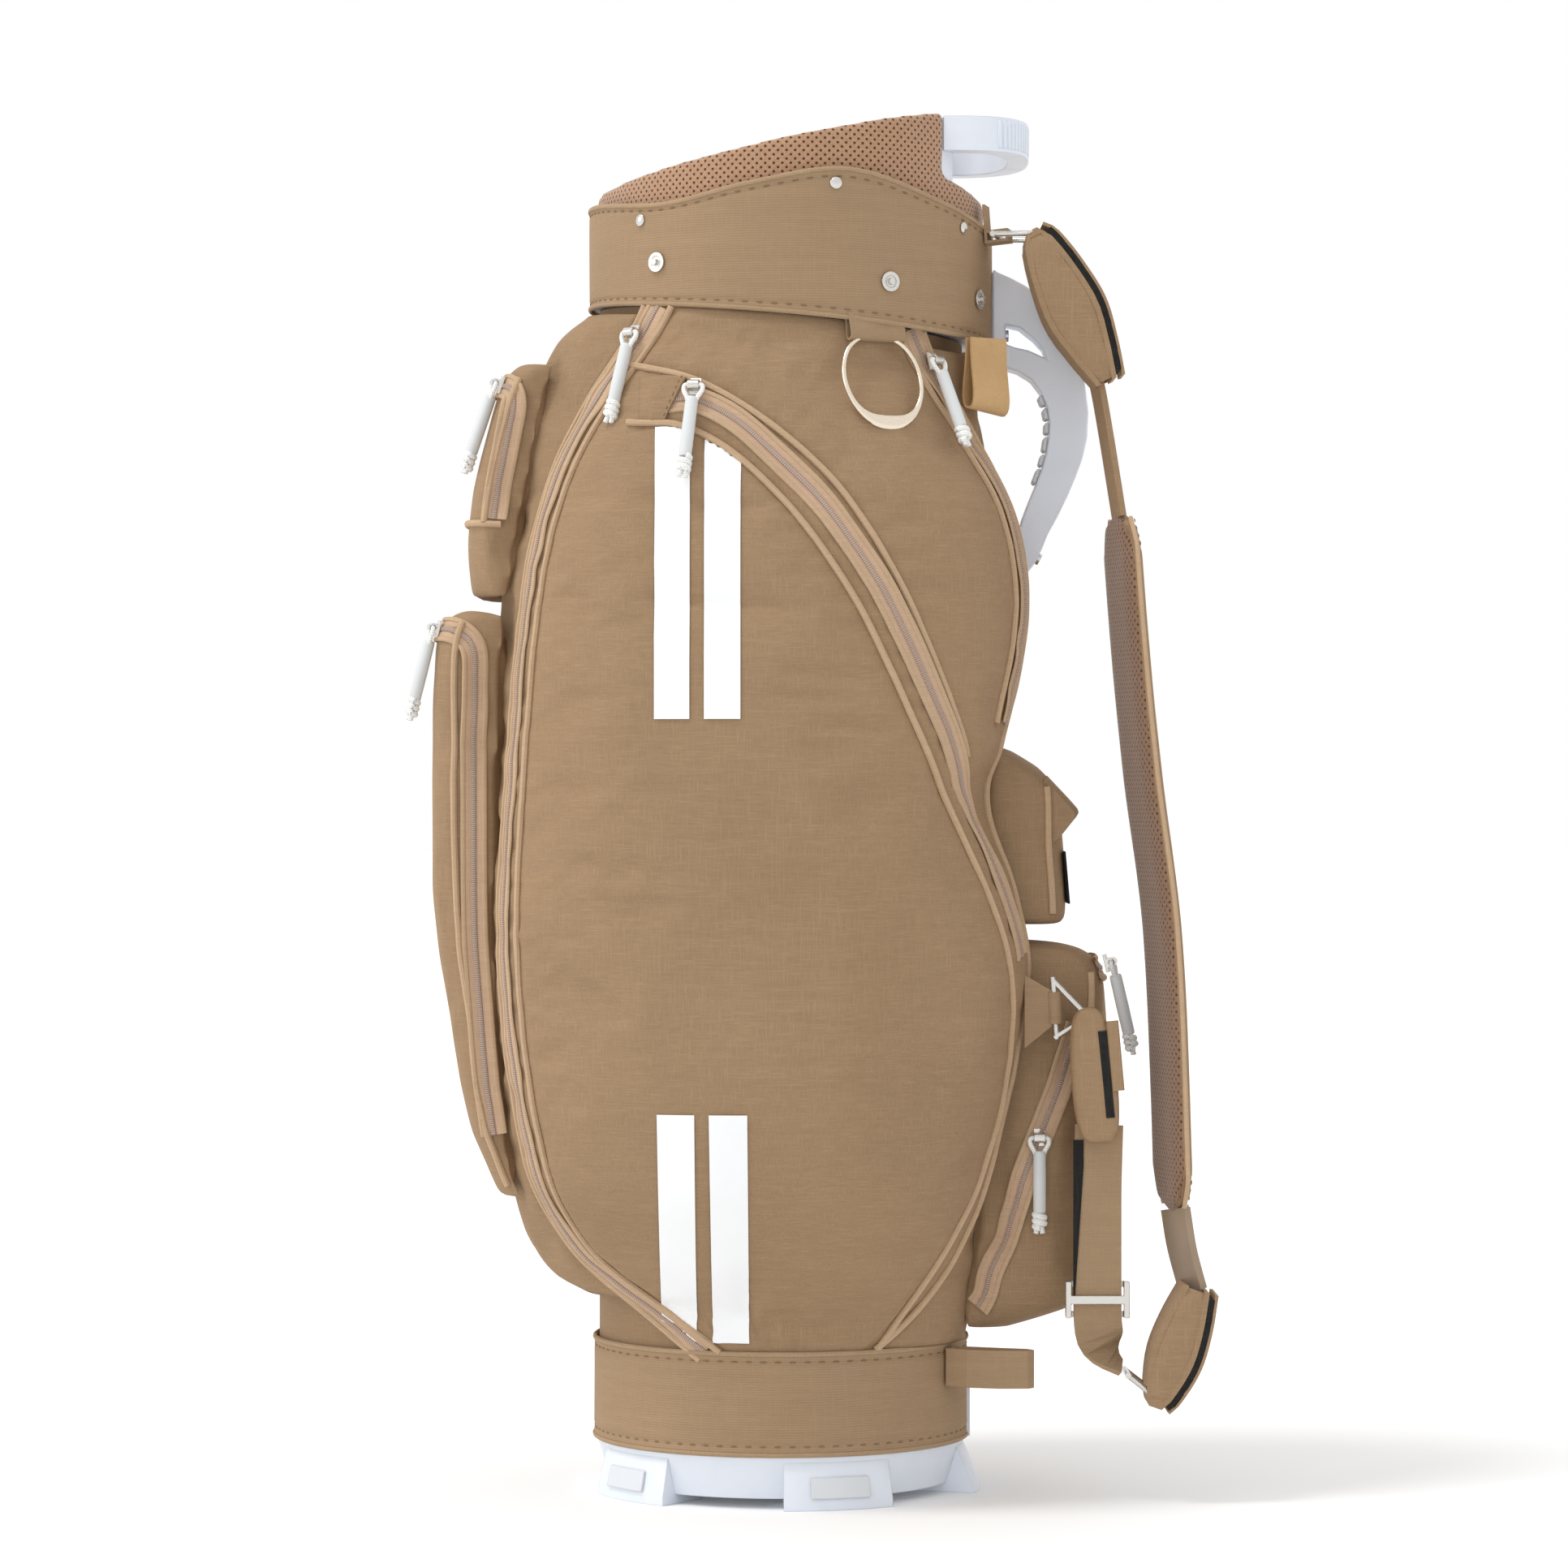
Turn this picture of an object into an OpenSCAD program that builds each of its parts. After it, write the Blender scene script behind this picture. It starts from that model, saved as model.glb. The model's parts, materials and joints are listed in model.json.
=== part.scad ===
// Golf staff bag: a stiff liner tube between a moulded base cup and a moulded mouth
// ring, wrapped in sewn fabric pockets, with a carry handle and a shoulder strap.
// The tube's axis is Z, the floor is Z = 0, and the handle and strap are on +X.

/* [Tube and bands] */
// Outer radius of the fabric band at the base
base_r = 115; // [96:1:138]
// Outer radius of the fabric band at the mouth
mouth_r = 124; // [112:1:136]
// How far the mouth's centre sits behind the tube's centre
mouth_shift = 6; // [0:1:8]
// Height of the body between the two bands
body_h = 620; // [520:5:745]
// Height of the lower band
base_band_h = 60; // [45:1:75]
// Height of the mouth band's stitched edge above its lower edge
mouth_band_h = 61; // [52:1:75]
// Fabric thickness of the bands
band_t = 1.6; // [1:0.1:2.5]
// Wall of the liner tube
liner_t = 2; // [1.2:0.1:3]
// Fabric cover on the liner
cover_t = 1.4; // [0.8:0.1:2]

/* [Base] */
// Height of the band's lower edge above the floor
base_h = 32; // [26:1:42]
// Wall of the base cup
cup_t = 3; // [2:0.1:4]
// Height of the cup's underside above the floor
cup_clear = 6; // [4:0.5:9]
// Number of feet
foot_count = 5; // [3:1:7]
// How far a foot reaches out past the cup
foot_out = 4; // [0:0.5:8]

/* [Mouth] */
// Slope of the mouth, rise over run
rim_slope = 0.215; // [0.1:0.005:0.3]
// Height of the padded rim above the band's lower edge, at the tube's axis
rim_h = 104.5; // [95:0.5:120]
// Wall of the mouth ring
ring_t = 3; // [2:0.1:4]
// Thickness of the padded mesh collar
collar_t = 10.5; // [9:0.5:14]
// Width of a divider bar
bar_w = 8; // [6:0.5:12]
// Distance from the mouth's centre to each cross bar
bar_x = 36; // [30:1:40]
// Thickness of the divider fabric
divider_t = 1.2; // [0.8:0.1:2]
// How far the lift handle reaches behind the collar's raised sides
lift_reach = 54; // [45:1:65]
// Height of the lift handle's bar
lift_h = 21; // [16:1:26]

/* [Pockets] */
// How far the side pockets stand out from the cover
side_bulge = 46; // [34:1:58]
// How far the front body stands out from the cover
front_bulge = 61; // [48:1:70]
// How far the lower front pocket stands out from the front body
front_pocket_d = 36; // [26:1:46]
// How far the lower back pocket stands out from the spine panel
back_pocket_d = 78; // [62:1:90]
// Gap at a seam between two sewn pieces
seam = 0.3; // [0.2:0.05:0.5]
// Width of a zip with its tapes
zip_w = 16; // [12:1:20]
// Thickness of a zip
zip_t = 1.4; // [1.2:0.1:2]

/* [Zip pulls] */
// Length of a pull's sleeve
sleeve_l = 36; // [26:1:44]
// Radius of a pull's sleeve
sleeve_r = 4.4; // [3.4:0.1:5]
// Radius of a pull's cord
pull_cord_r = 1.5; // [1.2:0.1:1.8]
// Running clearance of a pull in its slider
pull_clear = 0.3; // [0.2:0.05:0.4]

/* [Carry handle] */
// Width of the carry handle across the bag
handle_w = 28; // [22:1:34]
// How far the handle's grip stands out from its mounting plate
handle_reach = 55; // [48:1:66]

/* [Towel ring] */
// Inner width of the towel ring
towel_w = 48; // [40:1:58]
// Inner height of the towel ring
towel_h = 52; // [44:1:62]
// Thickness of the towel ring
towel_t = 4; // [3:0.5:5]

/* [Shoulder strap] */
// Width of the shoulder pad
pad_w = 62; // [50:1:74]
// Thickness of the shoulder pad
pad_t = 13; // [10:0.5:17]
// Width of the adjuster webbing
web_w = 30; // [25:1:34]
// Thickness of the folded adjuster webbing
web_t = 3.2; // [2.4:0.1:4]
// Wire radius of the strap rings
ring_wire_r = 1.8; // [1.5:0.1:2.2]
// Clearance of a ring in its tab
ring_clear = 0.5; // [0.3:0.1:0.8]

/* [Hidden] */
$fn = 96;
round_fn = 32;
fit_gap = 0.3;

TAN = "#a98c68";
LIGHT_TAN = "#c9a582";
BROWN_MESH = "#a87a58";
WHITE = "#eef1f6";
STEEL = "#c9c4ba";
BLACK = "#1b1a18";

// Radii, from the base band inwards and from the mouth band inwards.
cup_out_r = base_r - band_t - fit_gap;
liner_r = cup_out_r - cup_t - fit_gap;
cup_in_r = cup_out_r - 8 - cup_t;
liner_bottom = base_h - 4;
cover_r = liner_r + fit_gap + cover_t;
pocket_r = cover_r + seam;
ring_out_r = mouth_r - band_t - fit_gap;
collar_r = ring_out_r - ring_t - fit_gap;
collar_in_r = collar_r - collar_t;
core_out_r = collar_r - 3.3;
core_in_r = core_out_r - 3.5;

// Heights. Planes over the body tilt with the mouth band's lower edge.
z_low = base_h + base_band_h;
band_tilt = 0.093;
function level(t, x) = z_low + t * (body_h - band_tilt * x);
z_band = z_low + body_h;
cut_x = mouth_shift + core_in_r * 0.82;
function rim_z(x) = z_band + rim_h + rim_slope * x;
function back_rim_z(x) = z_band + 87 - 0.42 * (x - cut_x);

// Value at t of a smooth curve through the [position, value] rows of a table.
function slope_at(tab, i) =
  let(a = max(i - 1, 0), b = min(i + 1, len(tab) - 1))
  (tab[b][1] - tab[a][1]) / (tab[b][0] - tab[a][0]);
function seg(tab, t, i = 0) = (i >= len(tab) - 2 || t <= tab[i + 1][0]) ? i : seg(tab, t, i + 1);
function curve(tab, t) =
  let(
    i = seg(tab, t),
    w = tab[i + 1][0] - tab[i][0],
    s = min(max((t - tab[i][0]) / w, 0), 1),
    m0 = slope_at(tab, i) * w,
    m1 = slope_at(tab, i + 1) * w
  )
  (2 * s ^ 3 - 3 * s ^ 2 + 1) * tab[i][1] + (s ^ 3 - 2 * s ^ 2 + s) * m0
  + (3 * s ^ 2 - 2 * s ^ 3) * tab[i + 1][1] + (s ^ 3 - s ^ 2) * m1;
function lerp(a, b, s) = a + (b - a) * s;
function unit(v) = v / norm(v);
function steps(a, b, n) = [for (i = [0:n]) lerp(a, b, i / n)];

// Side pocket shape: how far it stands out to the front, to the back and sideways, in
// shares of its bulge, and the angle of its front and back edges from straight sideways.
front_share = [[0, 0.02], [0.037, 0.13], [0.094, 0.6], [0.174, 1.09], [0.368, 1.41], [0.545, 1.3],
               [0.723, 1.09], [0.82, 0.82], [0.9, 0.52], [0.965, 0.26], [1, 0.15]];
side_share = [[0, 0.02], [0.037, 0.17], [0.094, 0.52], [0.174, 0.83], [0.368, 1], [0.545, 1.02],
              [0.723, 0.91], [0.82, 0.74], [0.9, 0.52], [0.965, 0.26], [1, 0.15]];
back_share = [[0, 0.02], [0.037, 0.07], [0.094, 0.22], [0.174, 0.48], [0.368, 0.91], [0.45, 0.75],
              [0.545, 0.35], [0.6, 0.56], [0.723, 0.87], [0.82, 0.78], [0.9, 0.39], [0.965, 0.17], [1, 0.13]];
front_edge = [[0, 29], [0.037, 44], [0.094, 62], [0.174, 67], [0.368, 70], [0.723, 68], [0.82, 65],
              [0.9, 58], [0.965, 49], [1, 44]];
back_edge = [[0, 30], [0.037, 44], [0.094, 55], [0.174, 62], [0.368, 70], [0.545, 66], [0.723, 72],
             [0.82, 70], [0.9, 62], [0.965, 52], [1, 47]];
// Squareness of the section: 2 is round, more is boxier.
squareness = [[0, 2], [0.037, 2.05], [0.094, 2.35], [0.174, 2.6], [0.82, 2.6], [0.9, 2.3], [0.965, 2.05], [1, 2]];

// Point on the side pocket's outside at height share t and angle a from straight sideways.
function side_point(t, a, out = 0) =
  let(
    ax = cover_r + side_bulge * curve(a < 0 ? front_share : back_share, t) + out,
    ay = cover_r + side_bulge * curve(side_share, t) + out,
    k = curve(squareness, t),
    r = 1 / ((abs(sin(a)) / ax) ^ k + (abs(cos(a)) / ay) ^ k) ^ (1 / k),
    x = r * sin(a)
  )
  [x, -r * cos(a), level(t, x)];
function side_normal(t, a) =
  unit(cross(side_point(t, a + 1) - side_point(t, a - 1), side_point(t + 0.01, a) - side_point(t - 0.01, a)));

// Solid through a list of rings that each have as many points. Where a ring is a crescent, outer is
// how many of its points are on the outside, and its two ends are closed by a band of triangles.
module loft(rings, outer = 0) {
  n = len(rings[0]);
  m = len(rings);
  end = outer == 0 ? [[for (i = [0:n - 1]) i]] : crescent(outer, n);
  polyhedron(
    points = [for (r = rings) each r],
    faces = [
      each end,
      for (f = end) [for (i = [len(f) - 1:-1:0]) (m - 1) * n + f[i]],
      for (j = [0:m - 2]) for (i = [0:n - 1])
        let(k = (i + 1) % n) each [[j * n + k, j * n + i, (j + 1) * n + i],
                                   [j * n + k, (j + 1) * n + i, (j + 1) * n + k]]
    ],
    convexity = 6
  );
}
// Triangles between the outside of a crescent, points 0 to outer - 1, and its inside, the rest.
function crescent(outer, n) =
  let(a = outer - 1, b = n - outer - 1, meet = [for (i = [0:a - 1]) round((i + 0.5) / a * b)])
  concat([for (i = [0:a - 1]) [i, i + 1, n - 1 - meet[i]]],
         [for (j = [0:b - 1]) [n - 2 - j, n - 1 - j, len([for (v = meet) if (v <= j) v])]]);

// Flat band of width w and thickness t along a path; wides gives its width direction.
module strip(path, wides, w, t) {
  n = len(path);
  loft([
    for (i = [0:n - 1])
      let(
        along = unit(path[min(i + 1, n - 1)] - path[max(i - 1, 0)]),
        wide = unit(wides[i] - along * (wides[i] * along)),
        thick = cross(along, wide),
        e = min(t * 0.35, w * 0.2)
      )
      [for (c = [[w / 2, t / 2 - e], [w / 2 - e, t / 2], [e - w / 2, t / 2], [-w / 2, t / 2 - e],
                 [-w / 2, e - t / 2], [e - w / 2, -t / 2], [w / 2 - e, -t / 2], [w / 2, e - t / 2]])
        path[i] + wide * c[0] + thick * c[1]]
  ]);
}

// Places a child's origin at p with its Z along zdir and its X as near xdir as it can be.
module frame_at(p, zdir, xdir) {
  z = unit(zdir);
  y = unit(cross(z, xdir));
  x = cross(y, z);
  multmatrix([[x[0], y[0], z[0], p[0]], [x[1], y[1], z[1], p[1]], [x[2], y[2], z[2], p[2]], [0, 0, 0, 1]])
    children();
}

module tube(r_out, r_in, z0, z1) {
  translate([0, 0, z0])
    difference() {
      cylinder(r = r_out, h = z1 - z0);
      translate([0, 0, -1]) cylinder(r = r_in, h = z1 - z0 + 2);
    }
}

// A side view outline, given as [x, z] points, run through the whole width of the bag.
module side_slab(outline, width = 400) {
  translate([0, width / 2, 0]) rotate([90, 0, 0]) linear_extrude(width) polygon(outline);
}

module both_sides() {
  children();
  mirror([0, 1, 0]) children();
}

// ---- Base ----
foot_half = 17;
module base_moulding() {
  foot_r = cup_out_r + foot_out;
  color(WHITE) {
    difference() {
      union() {
        translate([0, 0, cup_clear]) cylinder(r1 = cup_out_r - 8, r2 = cup_out_r, h = base_h - cup_clear - fit_gap);
        translate([0, 0, base_h - 1]) cylinder(r = cup_out_r, h = base_band_h - 5);
        // Boss under the middle, level with the feet.
        cylinder(r = 22, h = cup_clear + 1);
      }
      translate([0, 0, cup_clear + cup_t]) cylinder(r = cup_in_r, h = 200);
      translate([0, 0, liner_bottom - fit_gap]) cylinder(r = liner_r + fit_gap, h = 200);
    }
    for (i = [0:foot_count - 1])
      rotate([0, 0, i * 360 / foot_count - foot_half])
        rotate_extrude(angle = 2 * foot_half)
          polygon([[cup_out_r - 34, 0], [foot_r + (i == 0 ? 6 : 0), 0], [foot_r + (i == 0 ? 5 : 0), 5],
                   [cup_out_r - 1, base_h - 4], [cup_out_r - 2.5, base_h - 4], [cup_in_r + 1, cup_clear + 2],
                   [cup_out_r - 34, cup_clear + 2]]);
    rotate([0, 0, -6])
      rotate_extrude(angle = 12)
        polygon([[cup_out_r - 1, base_h], [base_r + 1.5, base_h], [base_r + 1.5, z_low - 18], [cup_out_r - 1, z_low - 12]]);
  }
}

module foot_pads() {
  pad_half = 9;
  foot_r = cup_out_r + foot_out;
  low = [foot_r + 0.4, 6];
  run = [cup_out_r - 1 - foot_r, base_h - 9];
  color(WHITE)
    for (i = [1:foot_count - 1])
      rotate([0, 0, i * 360 / foot_count - pad_half])
        rotate_extrude(angle = 2 * pad_half)
          polygon([low + run * 0.04, low + run * 0.04 + [1.4, 0.4], low + run * 0.6 + [1.4, -0.4], low + run * 0.6]);
}

module lower_band() {
  color(TAN)
    difference() {
      tube(base_r, cup_out_r + fit_gap, base_h, z_low);
      rotate([0, 0, -7])
        rotate_extrude(angle = 14) polygon([[base_r - 9, base_h - 1], [base_r + 9, base_h - 1], [base_r + 9, z_low + 1], [base_r - 9, z_low + 1]]);
    }
}

// ---- Liner and cover ----
liner_top = z_band + 12;
module liner_tube() {
  color("#33302c") tube(liner_r, liner_r - liner_t, liner_bottom, liner_top);
}

module body_cover() {
  color(TAN)
    difference() {
      tube(cover_r, liner_r + fit_gap, z_low - 5, z_band + 20);
      side_slab([[-200, level(1, -200) - 0.5], [200, level(1, 200) - 0.5], [200, z_band + 200], [-200, z_band + 200]]);
    }
}

// ---- Mouth ----
band_top_share = [[-1, 0], [-0.62, -1], [-0.2, 14], [0.28, 28], [0.74, 17], [1, 7]];
function band_top_z(x) = level(1, x) + mouth_band_h + curve(band_top_share, (x - mouth_shift) / mouth_r);
band_xs = steps(mouth_shift - mouth_r - 2, mouth_shift + mouth_r + 2, 24);

module mouth_tube(r_out, r_in) {
  translate([mouth_shift, 0, 0]) tube(r_out, r_in, z_band - 40, z_band + 200);
}

module mouth_band() {
  color(TAN)
    intersection() {
      mouth_tube(mouth_r, ring_out_r + fit_gap);
      side_slab(concat(
        [for (x = band_xs) [x, band_top_z(x)]],
        [[band_xs[24], level(1, band_xs[24]) + 0.5], [band_xs[0], level(1, band_xs[0]) + 0.5]]
      ));
    }
}

// Height, over the band's lower edge, of the ledge that the collar stands on.
ledge = 32;
module mouth_ring() {
  x0 = mouth_shift - mouth_r - 5;
  x1 = mouth_shift + mouth_r + 5;
  bottom = [[x1, level(1, x1) + 1], [x0, level(1, x0) + 1]];
  color(WHITE) {
    difference() {
      union() {
        intersection() {
          mouth_tube(ring_out_r, collar_r + fit_gap);
          side_slab(concat([for (x = band_xs) [x, band_top_z(x) - 3]], bottom));
        }
        intersection() {
          mouth_tube(core_out_r, core_in_r);
          side_slab(concat(
            [[x0, rim_z(x0) - 4], [cut_x + 6, rim_z(cut_x + 6) - 4], [cut_x + 6, back_rim_z(cut_x + 6) - 4],
             [x1, back_rim_z(x1) - 4]],
            bottom
          ));
        }
        intersection() {
          mouth_tube(ring_out_r, 20);
          side_slab(concat([[x0, level(1, x0) + 4], [x1, level(1, x1) + 4]], bottom));
        }
        intersection() {
          mouth_tube(ring_out_r, core_in_r);
          side_slab([[x0, level(1, x0) + ledge], [x1, level(1, x1) + ledge],
                     [x1, level(1, x1) + ledge - 3], [x0, level(1, x0) + ledge - 3]]);
        }
      }
      translate([0, 0, z_band - 50]) cylinder(r = liner_r + fit_gap, h = 100);
    }
    lift_handle();
  }
}

// Points of half a rounded box in plan, from the +Y side round to the -Y side.
function half_box(x, y, n = 28) =
  [for (a = steps(90, -90, n)) [x * abs(cos(a)) ^ 0.72, y * sign(sin(a)) * abs(sin(a)) ^ 0.72]];
lift_wall = 13;
function lift_top() = rim_z(cut_x) - 3;
module lift_handle() {
  arm_y = sqrt(core_out_r ^ 2 - (cut_x - mouth_shift) ^ 2) + 3;
  translate([cut_x + 0.3, 0, lift_top() - lift_h])
    linear_extrude(lift_h)
      difference() {
        polygon(half_box(lift_reach, arm_y));
        translate([-0.01, 0]) polygon(half_box(lift_reach - lift_wall, arm_y - lift_wall));
      }
}

module mesh_collar() {
  x0 = mouth_shift - mouth_r - 5;
  x1 = mouth_shift + mouth_r + 5;
  foot = level(1, 0) + ledge + 0.3;
  color(BROWN_MESH)
    difference() {
      intersection() {
        mouth_tube(collar_r, collar_in_r);
        side_slab([[x0, rim_z(x0)], [cut_x, rim_z(cut_x)], [cut_x, back_rim_z(cut_x)], [x1, back_rim_z(x1)],
                   [x1, level(1, x1) + ledge + fit_gap], [x0, level(1, x0) + ledge + fit_gap]]);
      }
      intersection() {
        mouth_tube(core_out_r + fit_gap, core_in_r - fit_gap);
        side_slab([[x0, rim_z(x0) - 3.7], [cut_x + 6.3, rim_z(cut_x + 6.3) - 3.7],
                   [cut_x + 6.3, back_rim_z(cut_x + 6.3) - 3.7], [x1, back_rim_z(x1) - 3.7],
                   [x1, z_band - 20], [x0, z_band - 20]]);
      }
      // Room for the lift handle's arms.
      translate([cut_x, -200, lift_top() - lift_h - fit_gap]) cube([200, 400, 100]);
    }
}

grid_top = 26;
grid_h = 14;
module grid_slab(top) {
  side_slab([[-200, rim_z(-200) - top], [200, rim_z(200) - top], [200, rim_z(200) - top - grid_h],
             [-200, rim_z(-200) - top - grid_h]]);
}

module divider_grid() {
  color(BROWN_MESH)
    intersection() {
      union() {
        translate([-200, -bar_w / 2, 0]) cube([400, bar_w, 1000]);
        for (s = [-1, 1])
          translate([mouth_shift + s * bar_x - bar_w / 2, -200, 0]) cube([bar_w, 400, 1000]);
      }
      grid_slab(grid_top);
      translate([mouth_shift, 0, z_band - 60]) cylinder(r = collar_in_r - fit_gap, h = 200);
    }
}

module divider_sheets() {
  sheet_r = liner_r - liner_t - fit_gap;
  floor_z = cup_clear + cup_t + fit_gap;
  color("#6b563f")
    intersection() {
      union() {
        translate([-200, -divider_t / 2, floor_z]) cube([400, divider_t, 1000]);
        for (s = [-1, 1], side = [-1, 1])
          translate([mouth_shift + s * bar_x - divider_t / 2, side > 0 ? divider_t / 2 + seam : -200, floor_z])
            cube([divider_t, 200 - divider_t / 2 - seam, 1000]);
      }
      side_slab([[-200, 0], [200, 0], [200, rim_z(200) - grid_top - grid_h - seam],
                 [-200, rim_z(-200) - grid_top - grid_h - seam]]);
      union() {
        cylinder(r = cup_in_r - fit_gap, h = liner_bottom + 1);
        translate([0, 0, liner_bottom]) cylinder(r = sheet_r, h = 1000);
      }
      translate([mouth_shift, 0, 0]) cylinder(r = collar_in_r - fit_gap, h = 1000);
    }
}

// Places children on the mouth band's outside at an angle from straight sideways.
module on_band(a, z, r) {
  dir = [sin(a), -cos(a), 0];
  frame_at([mouth_shift, 0, z] + dir * r, dir, [0, 0, -1]) children();
}

rivet_angles = [-46.5, 12.5, 57];
stud_angles = [-40, 28.4, 66.8];
module band_rivets() {
  color(STEEL)
    both_sides()
      for (a = rivet_angles)
        on_band(a, band_top_z(mouth_shift + mouth_r * sin(a)) - 9, mouth_r + 0.3)
          intersection() {
            cylinder(r = 3.6, h = 3);
            translate([0, 0, -4]) sphere(r = 5.8);
          }
}

module hood_studs() {
  color(STEEL)
    both_sides()
      for (a = stud_angles)
        on_band(a, level(1, mouth_shift + mouth_r * sin(a)) + 25, mouth_r + 0.5) {
          difference() {
            cylinder(r = 6, h = 1.2);
            translate([0, 0, -1]) cylinder(r = 3.6, h = 4);
          }
          cylinder(r = 3.6, h = 0.6);
          cylinder(r = 2, h = 3.4);
        }
}

// ---- Pockets and body panels ----
body_ts = [0.001, 0.02, 0.035, 0.05, 0.065, 0.09, 0.12, 0.16, 0.2, 0.25, 0.31, 0.37, 0.43, 0.47, 0.51, 0.545,
           0.58, 0.62, 0.67, 0.72, 0.77, 0.81, 0.85, 0.885, 0.92, 0.95, 0.975, 0.992, 1];
arc_r = pocket_r + 0.25;
function cover_arc(t, a0, a1, n) =
  [for (a = steps(a0, a1, n)) let(x = arc_r * sin(a)) [x, -arc_r * cos(a), level(t, x)]];
// Angle on the cover at the same distance sideways as a point.
function arc_angle(p) = let(y = min(abs(p[1]), arc_r)) sign(p[0]) * acos(y / arc_r);

module side_pocket() {
  color(TAN)
    loft([
      for (t = body_ts)
        let(a0 = -curve(front_edge, t), a1 = curve(back_edge, t), p0 = side_point(t, a0), p1 = side_point(t, a1))
        concat([for (a = steps(a0, a1, 22)) side_point(t, a)], cover_arc(t, arc_angle(p1), arc_angle(p0), 20))
    ], 23);
}
module side_pocket_near() side_pocket();
module side_pocket_far() mirror([0, 1, 0]) side_pocket();

// Front body and spine panel: they fill between the two side pockets' edges.
front_out = [[0.05, 0.15], [0.065, 0.43], [0.09, 0.62], [0.14, 0.8], [0.25, 0.97], [0.5, 1], [0.72, 0.93],
             [0.79, 0.79], [0.9, 0.62], [0.96, 0.42], [0.99, 0.12]];
back_out = [[0.005, 2], [0.1, 5], [0.5, 10], [0.6, 15], [0.7, 20], [0.78, 23], [0.83, 20], [0.9, 12], [0.985, 9]];
front_ts = [for (t = body_ts) if (t >= 0.05 && t < 1) t];
back_ts = [for (t = body_ts) if (t < 1) t];
function front_x(t) = cover_r + front_bulge * curve(front_out, t);
function back_x(t) = cover_r + curve(back_out, t);
function front_corner(t) = side_point(t, -curve(front_edge, t));
function back_corner(t) = side_point(t, curve(back_edge, t));
// X of a panel between its corner and its middle, s running from -1 to 1 across it.
function across(corner_x, mid_x, s) = corner_x + (mid_x - corner_x) * (1 - abs(s) ^ 3.5);
function front_surface(t, s) =
  let(c = front_corner(t), y = abs(c[1]) - seam, x = across(-abs(c[0]), -front_x(t), s)) [x, y * s, level(t, x)];
function back_surface(t, s) =
  let(c = back_corner(t), y = abs(c[1]) - seam, x = across(abs(c[0]), back_x(t), s)) [x, y * s, level(t, x)];

module panel(ts, side) {
  color(TAN)
    loft([
      for (t = ts)
        let(c = side < 0 ? front_corner(t) : back_corner(t), q1 = asin(min(abs(c[1]) - seam, arc_r * 0.995) / arc_r))
        concat(
          [for (s = steps(-1, 1, 18)) side < 0 ? front_surface(t, -s) : back_surface(t, s)],
          [for (q = steps(q1, -q1, 14)) let(x = side * arc_r * cos(q)) [x, side * arc_r * sin(q), level(t, x)]]
        )
    ], 19);
}
module front_body() panel(front_ts, -1);
module spine_panel() panel(back_ts, 1);

// A pocket sewn on a panel. A row is [t, outer X, half width]; the inside follows the panel.
function pocket_out(side, row, s) =
  let(x = side * (row[1] - 12 * abs(s) ^ 5)) [x, side * row[2] * s, level(row[0], x)];
function pocket_in(side, row, s) =
  let(
    y = side * row[2] * s,
    c = side < 0 ? front_corner(row[0]) : back_corner(row[0]),
    u = min(max(y / (abs(c[1]) - seam), -1), 1),
    p = side < 0 ? front_surface(row[0], u) : back_surface(row[0], u),
    x = p[0] + side * (seam + 0.6)
  ) [x, y, level(row[0], x)];
module sewn_pocket(side, rows) {
  color(TAN)
    loft([for (r = rows)
      concat([for (s = steps(-1, 1, 16)) pocket_out(side, r, s)], [for (s = steps(1, -1, 10)) pocket_in(side, r, s)])],
         17);
}

upper_d = [[0.708, 16], [0.74, 22], [0.77, 26], [0.8, 28], [0.885, 23], [0.92, 20.5], [0.938, 15], [0.944, 9]];
lower_d = [[0.134, 0.19], [0.209, 0.53], [0.311, 0.75], [0.41, 1], [0.6, 1.05], [0.665, 1.06], [0.685, 0.96],
           [0.698, 0.74], [0.703, 0.5]];
back_upper_d = [[0.419, 0.72], [0.435, 0.72], [0.497, 0.68], [0.565, 0.64], [0.579, 0.48], [0.601, 0.18]];
back_lower_d = [[0.01, -0.03], [0.038, 0.83], [0.08, 0.88], [0.179, 0.97], [0.344, 1.02], [0.38, 1], [0.395, 0.9],
                [0.402, 0.75]];
function front_pocket_w(t) = min(abs(front_corner(t)[1]) - 5, 56);
back_pocket_w = 50;
function upper_row(t) = [t, front_x(t) + curve(upper_d, t), front_pocket_w(t)];
function lower_row(t) = [t, front_x(t) + front_pocket_d * curve(lower_d, t), front_pocket_w(t)];
function back_upper_row(t) = [t, back_x(0.3) + back_pocket_d * curve(back_upper_d, t), back_pocket_w];
function back_lower_row(t) = [t, back_x(0.3) + back_pocket_d * curve(back_lower_d, t), back_pocket_w];
module front_upper_pocket()
  sewn_pocket(-1, [for (t = [0.709, 0.72, 0.745, 0.77, 0.81, 0.85, 0.885, 0.91, 0.92, 0.93, 0.938, 0.944]) upper_row(t)]);
module front_lower_pocket()
  sewn_pocket(-1, [for (t = [0.135, 0.16, 0.2, 0.25, 0.31, 0.37, 0.43, 0.47, 0.545, 0.62, 0.67, 0.685, 0.695, 0.702]) lower_row(t)]);
module back_upper_pocket()
  sewn_pocket(1, [for (t = [0.42, 0.43, 0.45, 0.47, 0.49, 0.51, 0.545, 0.566, 0.58, 0.6]) back_upper_row(t)]);
module back_lower_pocket()
  sewn_pocket(1, [for (t = [0.012, 0.035, 0.05, 0.065, 0.09, 0.12, 0.16, 0.2, 0.25, 0.31, 0.34, 0.37, 0.386, 0.396, 0.402]) back_lower_row(t)]);

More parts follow.
